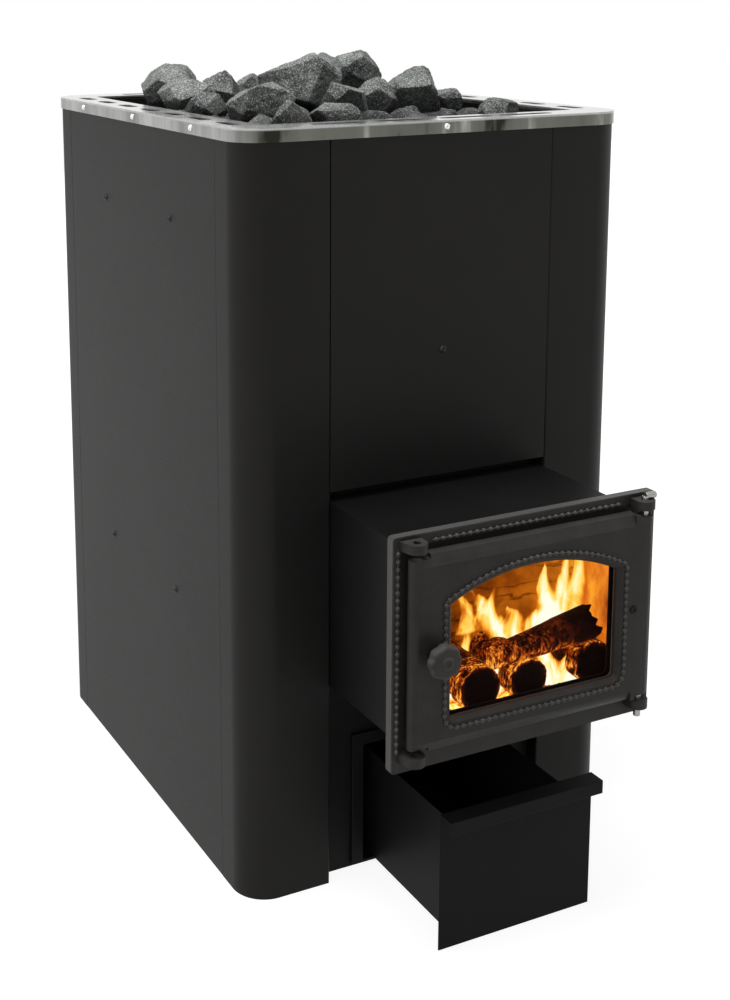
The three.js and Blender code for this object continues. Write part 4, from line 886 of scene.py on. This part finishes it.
def log_surface(radius, length, seed, far_share=1.0, torn=0.0):
    """A log along +Y from its near end: the radius wobbles round and along with the bark; the near end is sawn
    flat, or torn by waves round its rim; the far end, which may be thinner, is closed. Gives the points, the
    faces, and for each point its share of the radius, its share of the length and the sine of its angle."""
    draw = dice(seed)
    phases = [6.3 * next(draw) for _ in range(8)]
    around, stations, rings = 96, 70, 16
    angle = np.linspace(0.0, 2 * np.pi, around, endpoint=False)[None, :]
    run = np.concatenate([np.zeros(rings), np.linspace(0.0, 1.0, stations)])[:, None]
    share = np.concatenate([np.linspace(0.02, 0.94, rings), np.ones(stations)])[:, None]
    shell = np.stack([np.cos(angle) + 0 * run, run * length / radius + 0 * angle, np.sin(angle) + 0 * run], axis=-1)
    bark_relief = ripple(shell.reshape(-1, 3) * np.array([1.0, 0.35, 1.0]), 4.2, phases).reshape(run.size, around)
    reach = radius * share * (1.0 + (far_share - 1.0) * run) * (0.97 + 0.035 * bark_relief)
    waves = np.sin(3 * angle + phases[0]) + 0.6 * np.sin(7 * angle + phases[1]) + 0.5 * np.sin(12 * angle + phases[2])
    axial = run * length + torn * waves * share**2 * np.clip(1.0 - run / 0.2, 0.0, 1.0)
    points = np.stack([reach * np.cos(angle), axial, reach * np.sin(angle)], axis=-1).reshape(-1, 3)
    faces = grid_faces(run.size, around, wrap_columns=True)
    faces += [list(range(around))[::-1], [(run.size - 1) * around + i for i in range(around)]]
    spread = np.broadcast_arrays(share, run, np.sin(angle))
    return points, [face[::-1] for face in faces], [values.reshape(-1) for values in spread]


def add_log(name, points, faces, heat):
    """Adds a charred log in place of its CAD node, with the heat of each point."""
    carry_heat(add_piece(name + "_charred", points, faces, charred, "stove", (name,), sharp=45.0), heat)


for seed, name in ((71, "log_right"), (72, "log_middle"), (73, "log_left")):
    low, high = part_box(name)
    points, faces, (share, run, height) = log_surface((high[0] - low[0]) / 2, high[1] - low[1], seed)
    place_at = np.array([(low[0] + high[0]) / 2, low[1], (low[2] + high[2]) / 2])
    sawn_heat = 0.42 * np.clip((share - 0.62) / 0.38, 0.0, 1.0) ** 2
    bark_heat = 0.42 + 0.50 * np.exp(-run / 0.05) + 0.30 * np.clip(-height, 0.0, 1.0)
    add_log(name, points + place_at, faces, np.where(share < 1.0, sawn_heat, bark_heat))
low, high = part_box("log_across")
across_radius = (high[2] - low[2]) / 2
points, faces, (share, run, height) = log_surface(across_radius * 1.06, 0.124, 74, 0.60, 0.0035)
tilt, across_turn = math.radians(-5), math.radians(94)
c, s = math.cos(tilt), math.sin(tilt)
points = points @ np.array([[1.0, 0.0, 0.0], [0.0, c, s], [0.0, -s, c]])
c, s = math.cos(across_turn), math.sin(across_turn)
points = points @ np.array([[c, s, 0.0], [-s, c, 0.0], [0.0, 0.0, 1.0]])
points = points + np.array([high[0] - 0.006, low[1] + across_radius, (low[2] + high[2]) / 2 - 0.004])
across_heat = 0.05 + 0.52 * run + 0.55 * run**0.5 * np.clip(0.15 - height, 0.0, 1.0)
add_log("log_across", points, faces, np.where(share < 1.0, 0.03, across_heat))

ember_glow, ember_tree, ember_shader = finish("live_embers", (0.05, 0.02, 0.01), 0.95)
coals = place(ember_tree, "ShaderNodeTexVoronoi",
              {"Vector": place(ember_tree, "ShaderNodeTexCoord").outputs["Object"], "Scale": 120.0})
breath = spots(ember_tree, 70.0, 5.0, 0.7)
ember_tree.links.new(between(ember_tree, breath, [(0.38, (0.02, 0.002, 0.0)), (0.46, (0.70, 0.09, 0.006)),
                                                  (0.53, (1.0, 0.50, 0.05)), (0.64, (1.0, 0.88, 0.36))]),
                     ember_shader.inputs["Emission Color"])
ember_shader.inputs["Emission Strength"].default_value = 1.5
roughen(ember_tree, ember_shader, coals.outputs["Distance"], 0.8, 0.004)
low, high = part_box("ember_bed")
rows, columns = 90, 110
u = np.linspace(0.0, 1.0, columns)[None, :]
v = np.linspace(0.0, 1.0, rows)[:, None]
bed_x = low[0] + (high[0] - low[0]) * u + 0 * v
bed_y = low[1] + (high[1] - low[1]) * v + 0 * u
flat = np.stack([bed_x, bed_y, 0 * bed_x], axis=-1).reshape(-1, 3)
lumps = ripple(flat, 190.0, [0.3, 1.7, 2.9, 4.1, 5.2, 0.8, 2.2, 3.3]).reshape(rows, columns)
edge = np.clip(np.minimum(np.minimum(u, 1 - u) * 16, np.minimum(v, 1 - v) * 16), 0, 1)
bed_z = low[2] + 0.001 + (high[2] - low[2]) * (0.72 + 0.26 * lumps) * edge**0.5
top = np.stack([bed_x, bed_y, bed_z], axis=-1).reshape(-1, 3)
under = np.stack([bed_x, bed_y, np.full_like(bed_x, low[2])], axis=-1).reshape(-1, 3)
ember_faces = grid_faces(rows, columns)
ember_faces += [[rows * columns + i for i in face[::-1]] for face in grid_faces(rows, columns)]
border = list(range(columns))
border += [r * columns + columns - 1 for r in range(1, rows)]
border += [(rows - 1) * columns + i for i in range(columns - 2, -1, -1)]
border += [r * columns for r in range(rows - 2, 0, -1)]
ember_faces += [[border[i], rows * columns + border[i], rows * columns + border[(i + 1) % len(border)],
                 border[(i + 1) % len(border)]] for i in range(len(border))]
add_piece("embers_live", np.vstack([top, under]), ember_faces, ember_glow, "stove", ("ember_bed",),
          sharp=60.0)

# Haze: glowing gas and brickwork that fill the tunnel behind the flames, a bowed sheet from wall to wall, dull
# brown orange with dark cracks, brighter to the right above the coals; the lit brickwork is painted firelight.
haze_painted_firelight, haze_tree, haze_shader = finish("fire_haze", (0.0, 0.0, 0.0), 1.0)
haze_shader.inputs["Specular IOR Level"].default_value = 0.0
haze_at = place(haze_tree, "ShaderNodeSeparateXYZ", {0: place(haze_tree, "ShaderNodeTexCoord").outputs["Object"]})
# Painted firelight: the sheet grows brighter to the right, above the coals.
haze_painted_right_light = grey_range(haze_tree, haze_at.outputs["X"], 0.0, 0.34, 0.0, 0.12)
haze_clouds = grey_range(haze_tree, spots(haze_tree, 17.0, 5.0, 0.6), 0.0, 0.72)
haze_heat = place(haze_tree, "ShaderNodeMath", {0: haze_painted_right_light, 1: haze_clouds}, operation="ADD").outputs[0]
haze_tone = between(haze_tree, haze_heat, [(0.05, (0.070, 0.010, 0.001)), (0.35, (0.26, 0.052, 0.002)),
                                           (0.60, (0.55, 0.14, 0.006)), (1.0, (1.0, 0.42, 0.03))])
haze_cracks = between(haze_tree, spots(haze_tree, 15.0, 4.0, 0.6, (0.5, 1.0, 2.2)),
                      [(0.475, (1.0, 1.0, 1.0)), (0.497, (0.16, 0.12, 0.10)), (0.52, (1.0, 1.0, 1.0))])
haze_tree.links.new(place(haze_tree, "ShaderNodeMixRGB", {"Fac": 0.8, "Color1": haze_tone, "Color2": haze_cracks},
                          blend_type="MULTIPLY").outputs[0], haze_shader.inputs["Emission Color"])
haze_shader.inputs["Emission Strength"].default_value = 1.0
log_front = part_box("log_left")[0][1]
hearth_half = tunnel_high[0] - TUNNEL_WALL - 0.004
hearth_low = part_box("ember_bed")[1][2] - 0.004
hearth_high = tunnel_high[2] - TUNNEL_WALL - 0.004


def hearth_sheet(name, setback, material, rows, columns):
    """An upright sheet from wall to wall of the tunnel, so far behind the log ends, bowed back as a parabola."""
    rise = np.linspace(0.0, 1.0, rows)[:, None]
    across = np.linspace(-1.0, 1.0, columns)[None, :]
    points = np.stack([hearth_half * across + 0 * rise, log_front + setback + 0.012 * (1 - across**2) + 0 * rise,
                       hearth_low + (hearth_high - hearth_low) * rise + 0 * across], axis=-1).reshape(-1, 3)
    return add_piece(name, points, grid_faces(rows, columns), material, "stove", sharp=180.0), points


hearth_sheet("fire_haze", 0.064, haze_painted_firelight, 30, 40)

# Flames: two curtains of burning gas, one behind the cross log and one between the log ends. Their core is
# nearly white; it turns yellow, orange and red outwards and clears, with edges drawn out into wisps.
flame_glow, flame_tree, flame_shader = finish("flame_gas", (0.0, 0.0, 0.0), 1.0)
flame_shader.inputs["Specular IOR Level"].default_value = 0.0
flame_place = place(flame_tree, "ShaderNodeTexCoord").outputs["Object"]
flame_drawn = place(flame_tree, "ShaderNodeMapping", {"Vector": flame_place, "Scale": (1.0, 1.0, 0.36)}).outputs[0]
wisp = place(flame_tree, "ShaderNodeTexNoise", {"Vector": flame_drawn, "Scale": 60.0, "Detail": 4.0,
                                                "Roughness": 0.6, "Distortion": 0.7}).outputs["Fac"]
flame_heat = heat_of(flame_tree)
ragged = place(flame_tree, "ShaderNodeMath", {0: flame_heat, 1: grey_range(flame_tree, wisp, -0.42, 0.42)},
               operation="ADD").outputs[0]
flame_tree.links.new(between(flame_tree, ragged, [(0.10, (0.60, 0.080, 0.002)), (0.32, (1.0, 0.27, 0.010)),
                                                  (0.58, (1.0, 0.60, 0.08)), (0.80, (1.0, 0.86, 0.36)),
                                                  (1.0, (1.0, 0.97, 0.78))]), flame_shader.inputs["Emission Color"])
flame_shader.inputs["Emission Strength"].default_value = 1.1
flame_tree.links.new(grey_range(flame_tree, ragged, 0.0, 1.0, 0.08, 0.50), flame_shader.inputs["Alpha"])


def flame_curtain(name, setback, tongues):
    """A curtain of flame whose heat at each point is that of the hottest tongue there. A tongue is hottest on its
    middle line, which leans and sways as it rises; it falls off with the square of the way to its edge, which
    closes towards the tip, and with the square of its rise, and fast below the root and above the tip."""
    made, points = hearth_sheet(name, setback, flame_glow, 120, 170)
    x, z = points[:, 0], points[:, 2]
    heat = np.full(len(points), -1.0)
    for root_x, root_z, height, half, lean, warmth in tongues:
        climb = (z - root_z) / height
        rise = np.clip(climb, 0.0, 1.0)
        middle = root_x + lean * rise**1.4 + 0.22 * half * np.sin(6.0 * rise + 90.0 * root_x)
        aside = (x - middle) / (half * (1.0 - rise) ** 0.6 + 0.0015)
        past = np.clip(-climb * height / 0.012, 0.0, 1.0) + 4.0 * np.clip(climb - 1.0, 0.0, 1.0)
        heat = np.maximum(heat, warmth - 0.75 * aside**2 - 0.55 * rise**2 - 1.5 * past)
    carry_heat(made, heat)


# Tongues as (root x, root z, height, half width, lean, warmth), lengths in metres.
flame_curtain("flames_behind", 0.046, [
    (0.080, 0.282, 0.060, 0.013, -0.006, 1.02), (0.098, 0.290, 0.072, 0.008, 0.001, 0.90),
    (0.113, 0.286, 0.076, 0.012, -0.003, 1.02), (0.092, 0.270, 0.038, 0.042, 0.000, 1.20),
    (0.026, 0.274, 0.060, 0.019, -0.046, 0.84), (-0.012, 0.286, 0.050, 0.017, -0.014, 0.64),
    (0.014, 0.284, 0.046, 0.008, 0.002, 0.76), (0.040, 0.268, 0.036, 0.024, -0.006, 0.90),
    (-0.020, 0.258, 0.038, 0.011, 0.006, 0.68), (0.118, 0.250, 0.050, 0.010, 0.000, 0.95)])
flame_curtain("flames_between", 0.010, [
    (0.060, 0.222, 0.054, 0.017, -0.008, 1.20), (0.078, 0.224, 0.036, 0.015, 0.000, 1.10),
    (-0.002, 0.234, 0.042, 0.008, -0.003, 1.10), (-0.062, 0.243, 0.032, 0.009, 0.000, 1.05)])

# Bounds of the finished model, leaving out the floor.
low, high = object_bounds()
